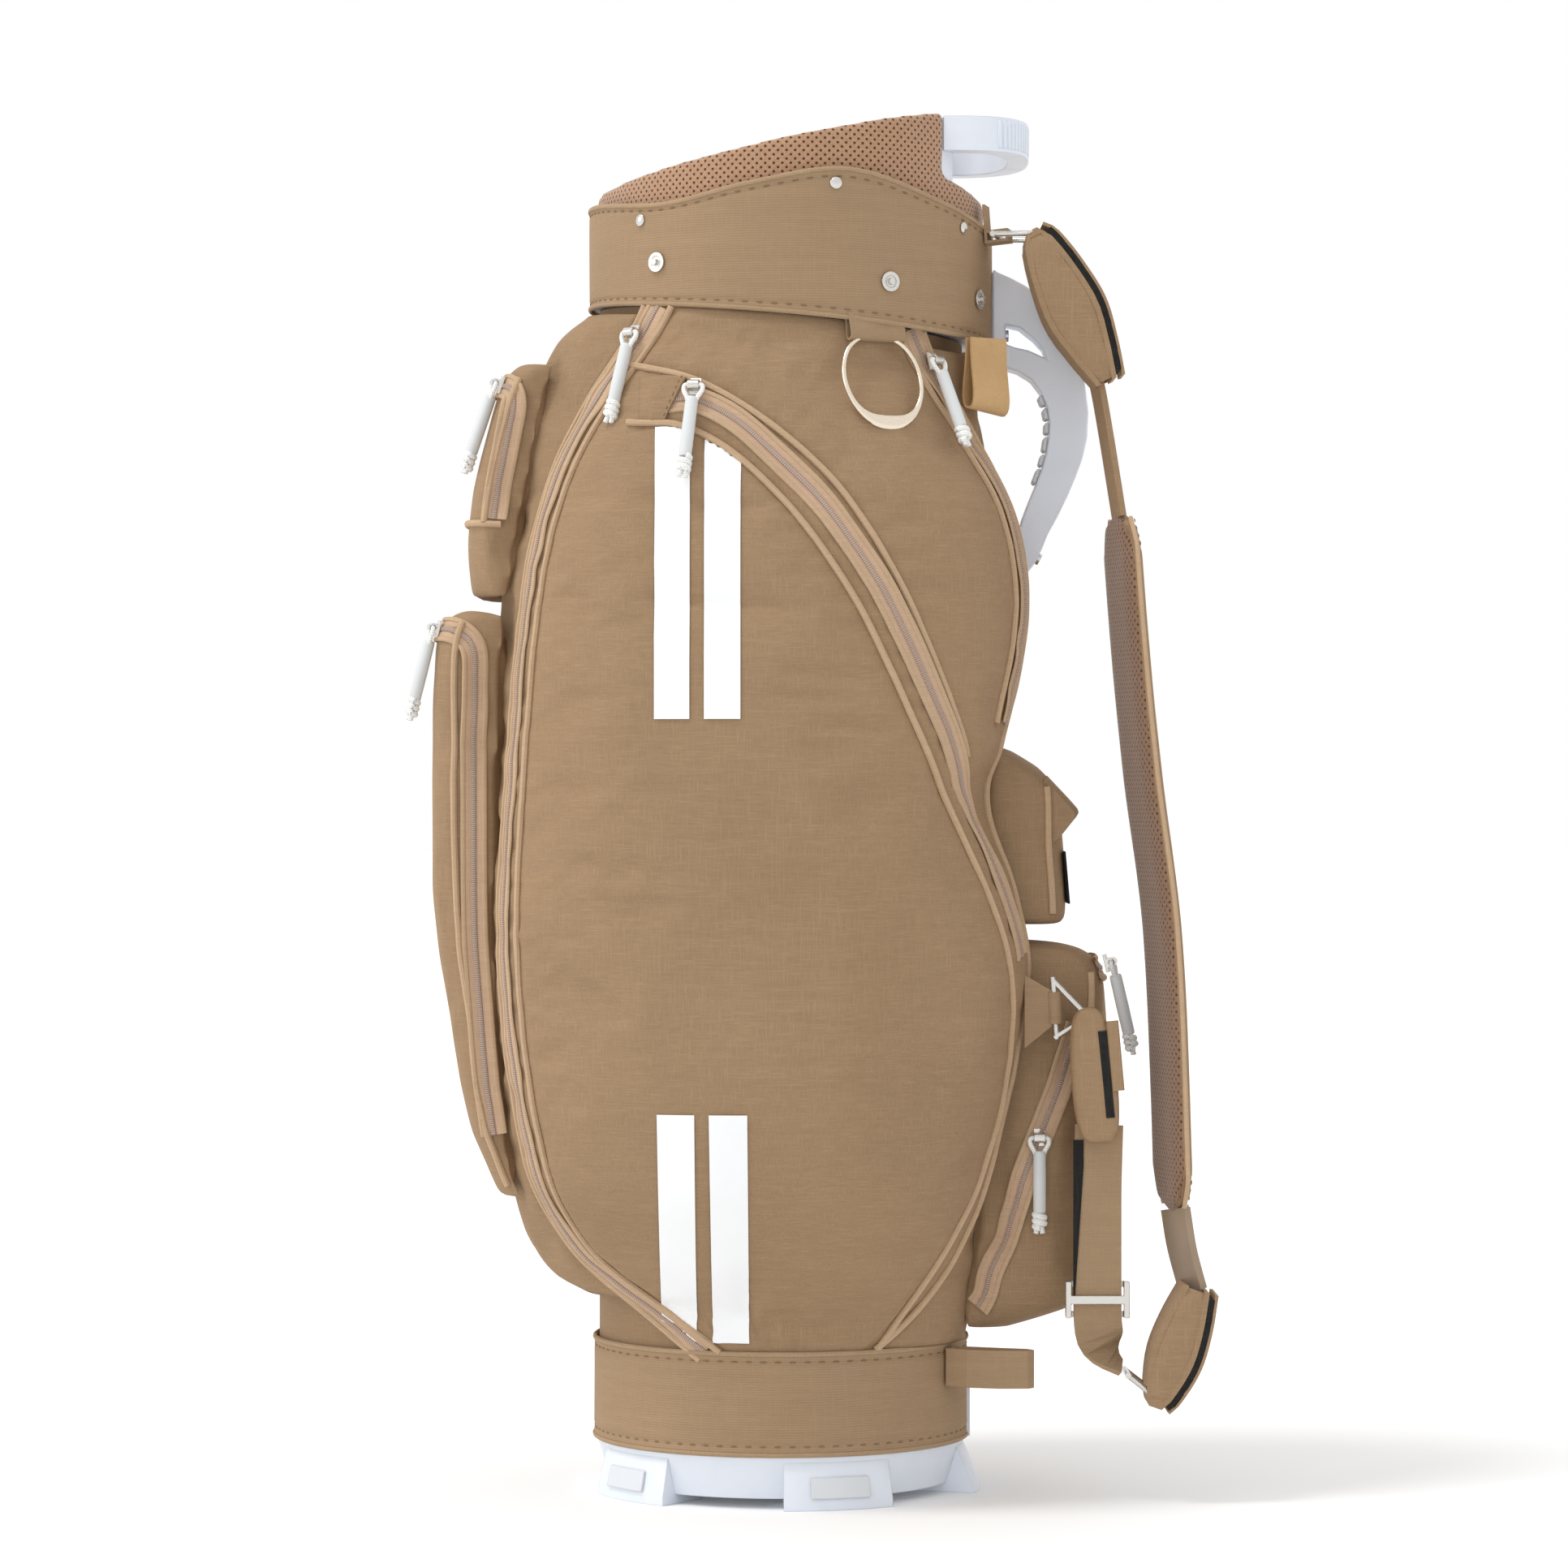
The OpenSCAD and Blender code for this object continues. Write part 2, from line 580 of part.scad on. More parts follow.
// ---- Zips ----
zip_lift = zip_t / 2 + 0.7;
curve_zip = [[0.43, 64], [0.48, 58], [0.55, 46], [0.64, 31], [0.755, 20.8], [0.84, 7], [0.9, -13], [0.925, -25]];
function zip_path(kind) =
  kind == 1 ? [for (t = concat(steps(0.985, 0.89, 8), steps(0.86, 0.03, 20))) zip_row(1, t)] :
  kind == 2 ? [for (t = steps(0.925, 0.45, 24)) zip_row(2, t)] :
              [for (t = concat(steps(0.985, 0.89, 8), steps(0.86, 0.6, 8))) zip_row(3, t)];
module side_zip(kind) {
  rows = zip_path(kind);
  points = [for (r = rows) side_point(r[0], r[1]) + side_normal(r[0], r[1]) * zip_lift];
  strip(points, [for (i = [0:len(rows) - 1])
    let(along = points[min(i + 1, len(rows) - 1)] - points[max(i - 1, 0)])
    cross(side_normal(rows[i][0], rows[i][1]), along)], zip_w, zip_t);
}
module side_zips() { color(LIGHT_TAN) for (k = [1, 2, 3]) side_zip(k); }
module side_zips_near() side_zips();
module side_zips_far() mirror([0, 1, 0]) side_zips();

// Strip along a sewn pocket at height share t, between the shares a and b of its width.
module pocket_zip(side, row, lower, a, b) {
  ss = steps(a, b, 12);
  points = [for (s = ss) pocket_out(side, row, s) + pocket_normal(side, row, lower, s) * zip_lift];
  strip(points, [for (s = ss) pocket_out(side, row, s) - pocket_out(side, lower, s)], zip_w - 2, zip_t);
}
function pocket_normal(side, row, lower, s) =
  unit(cross(pocket_out(side, row, s + 0.05) - pocket_out(side, row, s - 0.05),
             pocket_out(side, row, s) - pocket_out(side, lower, s)));

upper_zip_t = 0.915;
lower_zip_t = 0.678;
back_zip_t = 0.382;
near_zip = [[0.37, 0.9], [0.3, 0.78], [0.22, 0.57], [0.13, 0.3], [0.05, 0.02]];
function near_zip_point(t) =
  let(x = back_x(0.3) + back_pocket_d * curve([for (i = [4:-1:0]) near_zip[i]], t) - 4)
  [x, -back_pocket_w, level(t, x)];
module pocket_zips()
  color(LIGHT_TAN) {
    pocket_zip(-1, upper_row(upper_zip_t), upper_row(upper_zip_t - 0.012), -0.94, 0.94);
    pocket_zip(-1, lower_row(lower_zip_t), lower_row(lower_zip_t - 0.012), -0.94, 0.94);
    pocket_zip(1, back_lower_row(back_zip_t), back_lower_row(back_zip_t - 0.012), -0.94, 0.94);
    points = [for (t = steps(0.345, 0.06, 14)) near_zip_point(t) - [0, zip_lift, 0]];
    strip(points, [for (p = points) [1, 0, 0.01]], zip_w - 2, zip_t);
  }

// ---- Sliders and pulls ----
// A site is [point on the cloth, outward direction, hanging direction, sliding direction].
// Of the directions from p to the points qs, the one that stands out most along n.
function outermost(p, qs, n) =
  let(ds = [for (q = qs) unit(q - p)], out = [for (d = ds) d * n], m = max(out))
  [for (i = [0:len(ds) - 1]) if (out[i] == m) ds[i]][0];
function side_site(t, a, next) =
  let(p = side_point(t, a), n = side_normal(t, a))
  [p, n, outermost(p, [for (d = [0.015, 0.035, 0.055, 0.075, 0.095]) side_point(t - d, a)], n), outermost(p, next, n)];
function pocket_site(side, kind, t, s) =
  let(
    rows = [for (d = [0, 0.012, 0.03, 0.05, 0.08]) pocket_kind(kind, t - d)],
    p = pocket_out(side, rows[0], s),
    n = pocket_normal(side, rows[0], rows[1], s)
  )
  [p, n, outermost(p, [for (i = [1:4]) pocket_out(side, rows[i], s)], n),
   outermost(p, [for (k = [0.2, 0.4, 0.7]) pocket_out(side, rows[0], s * (1 - k))], n)];
function pocket_kind(kind, t) = kind == 4 ? upper_row(t) : kind == 5 ? lower_row(t) : back_lower_row(t);
function mirrored(v) = [v[0], -v[1], v[2]];
function zip_row(kind, t) = [t, kind == 1 ? 5 - curve(front_edge, t) : kind == 2 ? curve(curve_zip, t) : curve(back_edge, t) - 5];
function path_site(kind, t, down) =
  let(r = zip_row(kind, t))
  side_site(t, r[1], [for (d = down) let(q = zip_row(kind, t - d)) side_point(q[0], q[1])]);
near_sites = [
  path_site(1, 0.968, [0.02, 0.04, 0.06, 0.08]),
  path_site(2, 0.918, [0.01, 0.02, 0.03, 0.04]),
  path_site(3, 0.968, [0.02, 0.04, 0.06, 0.08])
];
near_face_site = [near_zip_point(0.208), [0, -1, 0], [0, 0, -1], unit(near_zip_point(0.12) - near_zip_point(0.208))];
sites = concat(
  near_sites,
  [for (v = near_sites) [for (w = v) mirrored(w)]],
  [pocket_site(-1, 4, upper_zip_t, 0.66), pocket_site(-1, 5, lower_zip_t, 0.66), pocket_site(1, 6, back_zip_t, -0.66),
   near_face_site]
);

slider_w = 7.2;
slider_l = 11;
plate_h = 1.8;
slider_base = zip_t + 0.7 + fit_gap + 0.65;
hinge_h = zip_t + 0.7 + fit_gap + sleeve_r + 0.75;
function hinge_axis(site) = unit(cross(site[2], site[1]));
function hinge_point(site) = site[0] + site[1] * hinge_h;

module slider(i) {
  site = sites[i - 1];
  arch_r = pull_cord_r + pull_clear + 1.1;
  color(STEEL)
    frame_at(site[0], site[1], cross(site[1], hinge_axis(site)) * -1)
      difference() {
        union() {
          translate([-slider_l / 2, -slider_w / 2, slider_base]) cube([slider_l, slider_w, plate_h]);
          translate([-arch_r, -slider_w / 2, slider_base]) cube([2 * arch_r, slider_w, hinge_h - slider_base]);
          translate([0, slider_w / 2, hinge_h]) rotate([90, 0, 0]) cylinder(r = arch_r, h = slider_w, $fn = round_fn);
        }
        translate([0, slider_w, hinge_h])
          rotate([90, 0, 0]) cylinder(r = pull_cord_r + pull_clear, h = 2 * slider_w, $fn = round_fn);
      }
}

module rod(a, b, r) {
  frame_at(a, b - a, abs(unit(b - a)[0]) > 0.9 ? [0, 1, 0] : [1, 0, 0]) cylinder(r = r, h = norm(b - a), $fn = round_fn);
}

loop_l = 10;
module pull(i) {
  site = sites[i - 1];
  leg_y = slider_w / 2 + pull_clear + pull_cord_r + 1.4;
  color(WHITE)
    frame_at(hinge_point(site), cross(hinge_axis(site), site[2]) * -1, site[2]) {
      rod([0, -leg_y - 1, 0], [0, leg_y + 1, 0], pull_cord_r);
      for (s = [-1, 1])
        rod([0, s * (leg_y - 0.1), 0], [loop_l + 1, s * (pull_cord_r + 0.3), 0], pull_cord_r - 0.15);
      rotate([0, 90, 0])
        rotate_extrude($fn = round_fn)
          polygon([[0, loop_l], [sleeve_r - 1.2, loop_l], [sleeve_r, loop_l + 1.5], [sleeve_r, loop_l + sleeve_l - 1.5],
                   [sleeve_r - 1.2, loop_l + sleeve_l], [2, loop_l + sleeve_l], [2, loop_l + sleeve_l + 1],
                   [sleeve_r - 0.6, loop_l + sleeve_l + 3], [sleeve_r, loop_l + sleeve_l + 6],
                   [sleeve_r - 0.8, loop_l + sleeve_l + 9], [2, loop_l + sleeve_l + 11], [1.6, loop_l + sleeve_l + 14],
                   [0, loop_l + sleeve_l + 14]]);
    }
}
module slider_1() slider(1);
module slider_2() slider(2);
module slider_3() slider(3);
module slider_4() slider(4);
module slider_5() slider(5);
module slider_6() slider(6);
module slider_7() slider(7);
module slider_8() slider(8);
module slider_9() slider(9);
module slider_10() slider(10);
module pull_1() pull(1);
module pull_2() pull(2);
module pull_3() pull(3);
module pull_4() pull(4);
module pull_5() pull(5);
module pull_6() pull(6);
module pull_7() pull(7);
module pull_8() pull(8);
module pull_9() pull(9);
module pull_10() pull(10);

// ---- Carry handle ----
plate_x = mouth_shift + mouth_r + fit_gap;
spine_gap_x = cover_r + 24;
// A [share of the reach, height from the mouth band's lower edge] pair as a point.
function handle_point(v) = [plate_x + handle_reach * v[0], z_band + v[1]];
handle_outer = [[0, 36], [0.05, 34], [0.2, 30.5], [0.37, 25.5], [0.62, 17], [0.77, 7], [0.87, -4], [0.95, -17],
                [1.02, -32], [1.065, -52], [1.05, -68], [1, -80], [0.92, -92], [0.835, -103], [0.72, -116],
                [0.61, -127], [0.545, -136], [0.45, -146], [0.36, -152]];
handle_inner = [[0.31, -122], [0.325, -118], [0.4, -107], [0.475, -97], [0.55, -86], [0.595, -77], [0.625, -66],
                [0.63, -57], [0.6, -48], [0.54, -40], [0.43, -32], [0.28, -27], [0.16, -25], [0.07, -24.5], [0, -24]];
handle_window = [[0.14, 2], [0.14, -10], [0.24, -12], [0.4, -14], [0.6, -19], [0.56, -13], [0.46, -7], [0.3, 0]];
module handle_slab(outline, width) { side_slab(outline, width); }
module carry_handle() {
  foot = [[spine_gap_x, z_band - 152], [spine_gap_x, z_band - 122]];
  color(WHITE)
    difference() {
      handle_slab(concat([for (v = handle_outer) handle_point(v)], foot, [for (v = handle_inner) handle_point(v)]), handle_w);
      handle_slab([for (v = handle_window) handle_point(v)], handle_w + 2);
    }
}

module grip_pads() {
  color("#d8dbe0")
    for (i = [3:8]) {
      a = handle_point(handle_inner[i]);
      b = handle_point(handle_inner[i + 1]);
      d = unit(b - a);
      out = [-d[1], d[0]];
      handle_slab([a + d * 0.7 + out * 0.3, b - d * 0.7 + out * 0.3, b - d * 1.6 + out * 2.9, a + d * 1.6 + out * 2.9],
                  handle_w - 5);
    }
}

module handle_screws() {
  a = handle_point(handle_outer[16]);
  b = handle_point(handle_outer[17]);
  d = unit(b - a);
  mid = (a + b) / 2 + [-d[1], d[0]] * 0.3;
  w = handle_point(handle_window[0]);
  color(STEEL) {
    frame_at([mid[0], 0, mid[1]], [-d[1], 0, d[0]], [0, 1, 0]) screw_head();
    frame_at([w[0] + 0.3, 0, w[1] - 6], [1, 0, 0], [0, 1, 0]) screw_head();
  }
}
module screw_head() {
  difference() {
    cylinder(r = 3.6, h = 2, $fn = round_fn);
    translate([0, 0, 1]) cylinder(r = 1.6, h = 2, $fn = 6);
  }
}

// ---- Towel ring ----
towel_a = 27;
towel_n = side_normal(0.985, towel_a);
towel_pivot = side_point(0.985, towel_a) + towel_n * 4.6;
towel_hang = outermost(side_point(0.985, towel_a), [for (d = [0.02, 0.04, 0.06, 0.08, 0.1]) side_point(0.985 - d, towel_a)], towel_n);
towel_axis = unit(cross(towel_hang, towel_n));
towel_tab_w = 22;
module towel_frame() {
  frame_at(towel_pivot, cross(towel_axis, towel_hang) * -1, towel_hang) children();
}
module towel_ring() {
  r_in = towel_w / 2;
  r_out = r_in + towel_t;
  mid = towel_h - r_in;
  color(STEEL)
    towel_frame() {
      translate([0, 0, -towel_t / 2])
        linear_extrude(towel_t)
          difference() {
            union() {
              translate([mid + 2.5, 0]) circle(r = r_out);
              translate([0, -r_out]) square([mid + 2.5, 2 * r_out]);
            }
            translate([mid, 0]) circle(r = r_in);
            translate([-1, -r_in]) square([mid + 1, 2 * r_in]);
          }
      rod([0, -r_out, 0], [0, r_out, 0], towel_t / 2);
    }
}
module towel_loop() {
  hole = towel_t / 2 + fit_gap;
  color(TAN)
    towel_frame()
      difference() {
        union() {
          rod([0, -towel_tab_w / 2, 0], [0, towel_tab_w / 2, 0], hole + 1.6);
          translate([-6.5, -towel_tab_w / 2, -hole - 1.6]) cube([6.5, towel_tab_w, 1.9]);
        }
        rod([0, -towel_tab_w, 0], [0, towel_tab_w, 0], hole);
      }
}

// ---- Tag, loop and patch ----
module leather_tag() {
  color("#c98f3c")
    translate([0, -69.3, 0])
      side_slab([[108, z_band - 10.4], [139, z_band - 14], [139.5, z_band - 50], [136, z_band - 54.5],
                 [116, z_band - 54], [113.2, z_band - 50]], 3.2);
}

module umbrella_loop() {
  z0 = base_h + 36;
  color(LIGHT_TAN)
    translate([0, 0, z0])
      linear_extrude(23)
        difference() {
          polygon([[99.5, -60], [112, -69], [132, -75], [149, -74.5], [153, -69], [149, -63.5], [134, -58.5],
                   [118, -52], [106, -47]]);
          polygon([[103, -59.5], [113, -66.8], [132.5, -72.6], [148, -72.3], [150.4, -69], [147.6, -65.7],
                   [133.4, -60.8], [117, -54.3], [107.5, -50]]);
        }
}

module glove_patch() {
  ts = [0.442, 0.46, 0.475, 0.495];
  near = [for (t = ts) let(x = back_upper_row(t)[1] + 0.6) [x, level(t, x)]];
  color(BLACK) side_slab(concat(near, [for (i = [3:-1:0]) near[i] + [1.4, 0]]), 62);
}

// ---- Shoulder strap ----
tab_half = 6;
swing = 30;
slack = tab_half * tan(swing) + ring_wire_r + 0.5;
top_tab_a = 16.5;
top_out = [cos(top_tab_a), -sin(top_tab_a), 0];
top_pivot = [mouth_shift, 0, z_band + 53] + top_out * (mouth_r + slack + 2.2);
side_pivot = [165, -72, z_low + 205];
swing_axis = unit(top_pivot - side_pivot);
// The strap's part of a direction that is square to the swing axis.
function square_on(v) = unit(v - swing_axis * (v * swing_axis));
top_reach = square_on(top_out);
top_bar = cross(swing_axis, top_reach);
side_reach = square_on([1, -0.12, 0]);

module strap_tabs() {
  color(TAN) {
    frame_at(top_pivot, top_bar, top_reach)
      translate([0, 0, -tab_half])
        linear_extrude(2 * tab_half) {
          difference() {
            square([2 * slack + 3.2, 2 * ring_wire_r + 2 * ring_clear + 3.2], center = true);
            square([2 * slack, 2 * ring_wire_r + 2 * ring_clear], center = true);
          }
          translate([-slack - 1.6, -20]) square([1.6, 20]);
        }
    // The side tab narrows from the pocket's seam to the ring.
    difference() {
      union() {
        side_tab_plate();
        rod(side_pivot - swing_axis * 9.5, side_pivot + swing_axis * 9.5, ring_wire_r + ring_clear + 1.6);
      }
      rod(side_pivot - swing_axis * 40, side_pivot + swing_axis * 40, ring_wire_r + ring_clear);
    }
  }
}
module side_tab_plate() {
  base_x = side_tab_x + 0.8;
  translate([0, side_pivot[1], 0])
    side_slab([[base_x, side_pivot[2] + 20], [side_pivot[0], side_pivot[2] + 9.4], [side_pivot[0], side_pivot[2] - 9.4],
               [base_x, side_pivot[2] - 24]], 2.6);
}
// Where the side pocket's outside passes the side tab.
side_tab_x = max([for (t = [0.3, 0.34, 0.37]) for (a = [56:1:69])
  let(p = side_point(t, a)) if (abs(p[1] - side_pivot[1]) < 2.4) p[0]]);

ring_half = 13;
top_far = top_pivot + top_reach * 24 - [0, 0, 2.5];
side_far = side_pivot + side_reach * 20 - swing_axis * 7;
low_a = [208, -75, 78];
low_b = [223, -74, 66];
module ring_loop(points, r) {
  n = len(points);
  for (i = [0:n - 1]) {
    a = points[i];
    b = points[(i + 1) % n];
    d = unit(b - a) * r * (i % 2 == 0 ? 1 : 0.4);
    rod(a - d, b + d, i % 2 == 0 ? r : r * 0.94);
  }
}
module strap_rings() {
  color(STEEL) {
    ring_loop([top_pivot - top_bar * ring_half, top_pivot + top_bar * ring_half, top_far + top_bar * ring_half,
               top_far - top_bar * ring_half], ring_wire_r);
    ring_loop([side_pivot - swing_axis * 17, side_pivot + swing_axis * 17, side_far], ring_wire_r);
    ring_loop([low_a - [0, 17, 0], low_a + [0, 17, 0], low_b + [0, 17, 0], low_b - [0, 17, 0]], ring_wire_r);
  }
}

// Outline about the line from a to b, its half thickness from a table over the line.
function pod(a, b, tab, less = 0, from = 0, to = 1) =
  let(d = b - a, side = [-d[1], d[0]] / norm(d), ss = steps(from, to, 12))
  concat([for (s = ss) a + d * s + side * (curve(tab, s) - less)],
         [for (i = [12:-1:0]) a + d * ss[i] - side * (curve(tab, ss[i]) - less)]);
module pod_slab(outline, y_mid, width) { translate([0, y_mid, 0]) side_slab(outline, width); }

upper_pod = [[0, 3], [0.03, 6.2], [0.1, 9.5], [0.3, 14], [0.55, 16.5], [0.8, 12], [1, 6.6]];
upper_a = [152, z_band + 55];
upper_b = [197, z_band - 37];
wrap_wall = 3.4;
module upper_wrap() {
  color(TAN)
    difference() {
      pod_slab(pod(upper_a, upper_b, upper_pod), -42, 42);
      pod_slab(pod(upper_a, upper_b, upper_pod, wrap_wall, 0.04, 1.03), -42, 60);
      rod(top_far - top_bar * 40, top_far + top_bar * 40, ring_wire_r + 0.3);
      for (s = [-1, 1])
        rod(top_pivot + top_bar * s * ring_half, top_far + top_bar * s * ring_half, ring_wire_r + 0.3);
    }
}
lower_pod = [[0, 8], [0.3, 12], [0.6, 13], [0.9, 8], [1, 4]];
module lower_wrap() {
  color(TAN)
    difference() {
      pod_slab(pod([249, 130], [224, 59], lower_pod), -73, 44);
      pod_slab(pod([249, 130], [224, 59], lower_pod, wrap_wall, -0.03, 0.93), -73, 60);
      for (s = [-1, 1])
        rod(low_a + [0, s * 17, 0], low_b + [0, s * 17, 0] + (low_b - low_a) * 0.12, ring_wire_r + 0.4);
      rod(low_b - [0, 20, 0], low_b + [0, 20, 0], ring_wire_r + 0.4);
    }
}
middle_pod = [[0, 5], [0.1, 10], [0.5, 14], [0.9, 12], [1, 8]];
module middle_wrap() {
  color(TAN)
    difference() {
      pod_slab(pod([side_far[0] - 1, side_far[2] + 6], [192, z_low + 125], middle_pod), -76, 26);
      rod(side_pivot - swing_axis * 17, side_far, ring_wire_r + 0.3);
      rod(side_pivot + swing_axis * 17, side_far, ring_wire_r + 0.3);
      rod(side_far - side_reach * 3, side_far + side_reach * 3.5, ring_wire_r + 1.6);
    }
}

pad_xs = [[173, 237.5], [341, 231], [440, 219], [520, 211.5], [598, 206]];
pad_ys = [[173, -66], [341, -58], [598, -44]];
function strap_path(z) = [curve(pad_xs, z), curve(pad_ys, z), z];
module shoulder_pad() {
  path = [for (z = steps(173, 598, 18)) strap_path(z)];
  color(TAN) strip(path, [for (p = path) [0, 1, 0]], pad_w, pad_t);
}
module strap_ends() {
  color("#b98a4a") {
    strip([[193.6, -42, 669], [198.5, -42.5, 640], [205.7, -43.8, 598.7]], [for (i = [0:2]) [0, 1, 0]], 36, 4.6);
    strip([[238.1, -67, 171.5], [241.5, -69, 152], [248.4, -71, 129]], [for (i = [0:2]) [0, 1, 0]], 38, 4.6);
  }
}

web_top = z_low + 123.5;
web_x = 190.5;
module adjuster_webbing() {
  path = [[191.5, -76, web_top], [web_x, -76, web_top - 20], [web_x, -76, 150], [web_x, -76, 102], [193, -76, 90],
          [198.2, -76, 84], [205.4, -75.4, 80.6]];
  wides = [[1, 0, 0], [1, 0, 0], [1, 0, 0], [1, 0, 0], [0.9, 0.3, 0], [0.6, 0.7, 0], [0, 1, 0]];
  color(LIGHT_TAN) strip(path, wides, web_w, web_t);
}

glide_z = 122;
module tri_glide() {
  half = web_w / 2 + 0.8;
  front = web_t / 2 + 0.5;
  color(STEEL)
    translate([web_x, -76, glide_z]) {
      for (s = [-1, 1]) translate([s * (half + 1.7) - 1.7, -front - 2.4, -11]) cube([3.4, 2 * front + 4.8, 22]);
      for (z = [-11, 7.4]) translate([-half - 2, front, z]) cube([2 * half + 4, 2.4, 3.6]);
      translate([-half - 2, -front - 2.4, -2.6]) cube([2 * half + 4, 2.4, 5.2]);
    }
}

base_moulding();
foot_pads();
liner_tube();
body_cover();
lower_band();
mouth_ring();
divider_grid();
divider_sheets();
mesh_collar();
mouth_band();
band_rivets();
hood_studs();
front_body();
spine_panel();
side_pocket_near();
side_pocket_far();
front_upper_pocket();
front_lower_pocket();
back_upper_pocket();
back_lower_pocket();
side_zips_near();
side_zips_far();
pocket_zips();
carry_handle();
grip_pads();
handle_screws();
towel_loop();
towel_ring();
leather_tag();
umbrella_loop();
glove_patch();
strap_tabs();
strap_rings();
upper_wrap();
lower_wrap();
middle_wrap();
shoulder_pad();
strap_ends();
adjuster_webbing();
tri_glide();
slider_1();
slider_2();
slider_3();
slider_4();
slider_5();
slider_6();
slider_7();
slider_8();
slider_9();
slider_10();
pull_1();
pull_2();
pull_3();
pull_4();
pull_5();
pull_6();
pull_7();
pull_8();
pull_9();
pull_10();
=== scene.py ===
# %% [markdown]
# # A golf staff bag
# The bag is built round a fixed frame that already has every part in its true place, in metres.
# Each cell below makes one kind of piece: first the cloth and plastic finishes, then the body,
# the pockets, the zips, the handles and last the strap. A finished piece rides on a body of the
# frame, so that it moves when the strap, a slider or a pull moves.

# %% Load the frame
import json
import math
import bmesh
import bpy
from mathutils import Matrix, Vector, noise
from mathutils.bvhtree import BVHTree
from mathutils.kdtree import KDTree


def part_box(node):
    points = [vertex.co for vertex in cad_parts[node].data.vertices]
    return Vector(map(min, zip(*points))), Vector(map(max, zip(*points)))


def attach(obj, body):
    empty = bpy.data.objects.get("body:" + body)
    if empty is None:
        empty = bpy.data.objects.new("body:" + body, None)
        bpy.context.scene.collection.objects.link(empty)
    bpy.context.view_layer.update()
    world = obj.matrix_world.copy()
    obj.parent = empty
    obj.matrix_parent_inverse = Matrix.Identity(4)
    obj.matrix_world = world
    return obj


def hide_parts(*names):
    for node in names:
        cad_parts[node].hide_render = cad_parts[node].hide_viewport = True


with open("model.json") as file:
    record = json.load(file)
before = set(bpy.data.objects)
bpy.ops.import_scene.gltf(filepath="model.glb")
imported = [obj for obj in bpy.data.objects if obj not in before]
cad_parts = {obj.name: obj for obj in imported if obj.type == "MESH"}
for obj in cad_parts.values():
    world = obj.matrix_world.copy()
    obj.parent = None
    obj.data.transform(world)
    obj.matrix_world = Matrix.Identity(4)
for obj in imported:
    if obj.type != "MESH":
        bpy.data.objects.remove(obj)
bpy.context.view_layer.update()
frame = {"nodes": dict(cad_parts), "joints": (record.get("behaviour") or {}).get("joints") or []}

cad_nodes = frame["nodes"]
joints = {j["name"]: j for j in frame["joints"]}

# %% [markdown]
# ## Camera, floor and light
# The camera stands level, 3.2 m in front of the bag, with a long lens so that upright lines stay
# upright. A soft sun from above throws the shadow, a second one lights the left side, and a white world fills the shadows.

# %% Camera, floor and light
scene = bpy.context.scene
scene.view_settings.view_transform = "Standard"
camera = bpy.data.objects.new("camera", bpy.data.cameras.new("camera"))
scene.collection.objects.link(camera)
camera.location = (0.002, -3.2, 0.432)
camera.rotation_euler = (math.radians(90), 0, 0)
camera.data.lens, camera.data.sensor_width = 119.25, 36
scene.camera = camera

world = bpy.data.worlds.new("studio")
scene.world = world
world.use_nodes = True
world.node_tree.nodes["Background"].inputs["Color"].default_value = (1, 1, 1, 1)
world.node_tree.nodes["Background"].inputs["Strength"].default_value = 1.0


def studio_sun(name, strength, angle, turn):
    lamp = bpy.data.objects.new(name, bpy.data.lights.new(name, "SUN"))
    lamp.data.energy, lamp.data.angle = strength, math.radians(angle)
    lamp.rotation_euler = [math.radians(v) for v in turn]
    scene.collection.objects.link(lamp)
    return lamp


studio_sun("key_light", 1.1, 16, (27, 0, -66))
studio_sun("side_light", 0.62, 30, (72, 0, -72)).data.use_shadow = False
floor_bm = bmesh.new()
bmesh.ops.create_grid(floor_bm, x_segments=1, y_segments=1, size=30)
floor_mesh = bpy.data.meshes.new("floor")
floor_bm.to_mesh(floor_mesh)
floor = bpy.data.objects.new("floor", floor_mesh)
scene.collection.objects.link(floor)
paper = bpy.data.materials.new("backdrop_paper")
paper.use_nodes = True
paper.node_tree.nodes["Principled BSDF"].inputs["Base Color"].default_value = (.86, .86, .86, 1)
paper.node_tree.nodes["Principled BSDF"].inputs["Roughness"].default_value = 0.9
floor_mesh.materials.append(paper)

# %% [markdown]
# ## Finishes
# Every finish is a small web of nodes. A coordinate is stretched one way to draw threads, a noise
# or a wave gives their pattern, a ramp turns it into colour, and a Bump node into relief. The
# coordinates are the object's own metres, so the weave keeps its real scale on every piece.

# %% A sketchbook for finishes


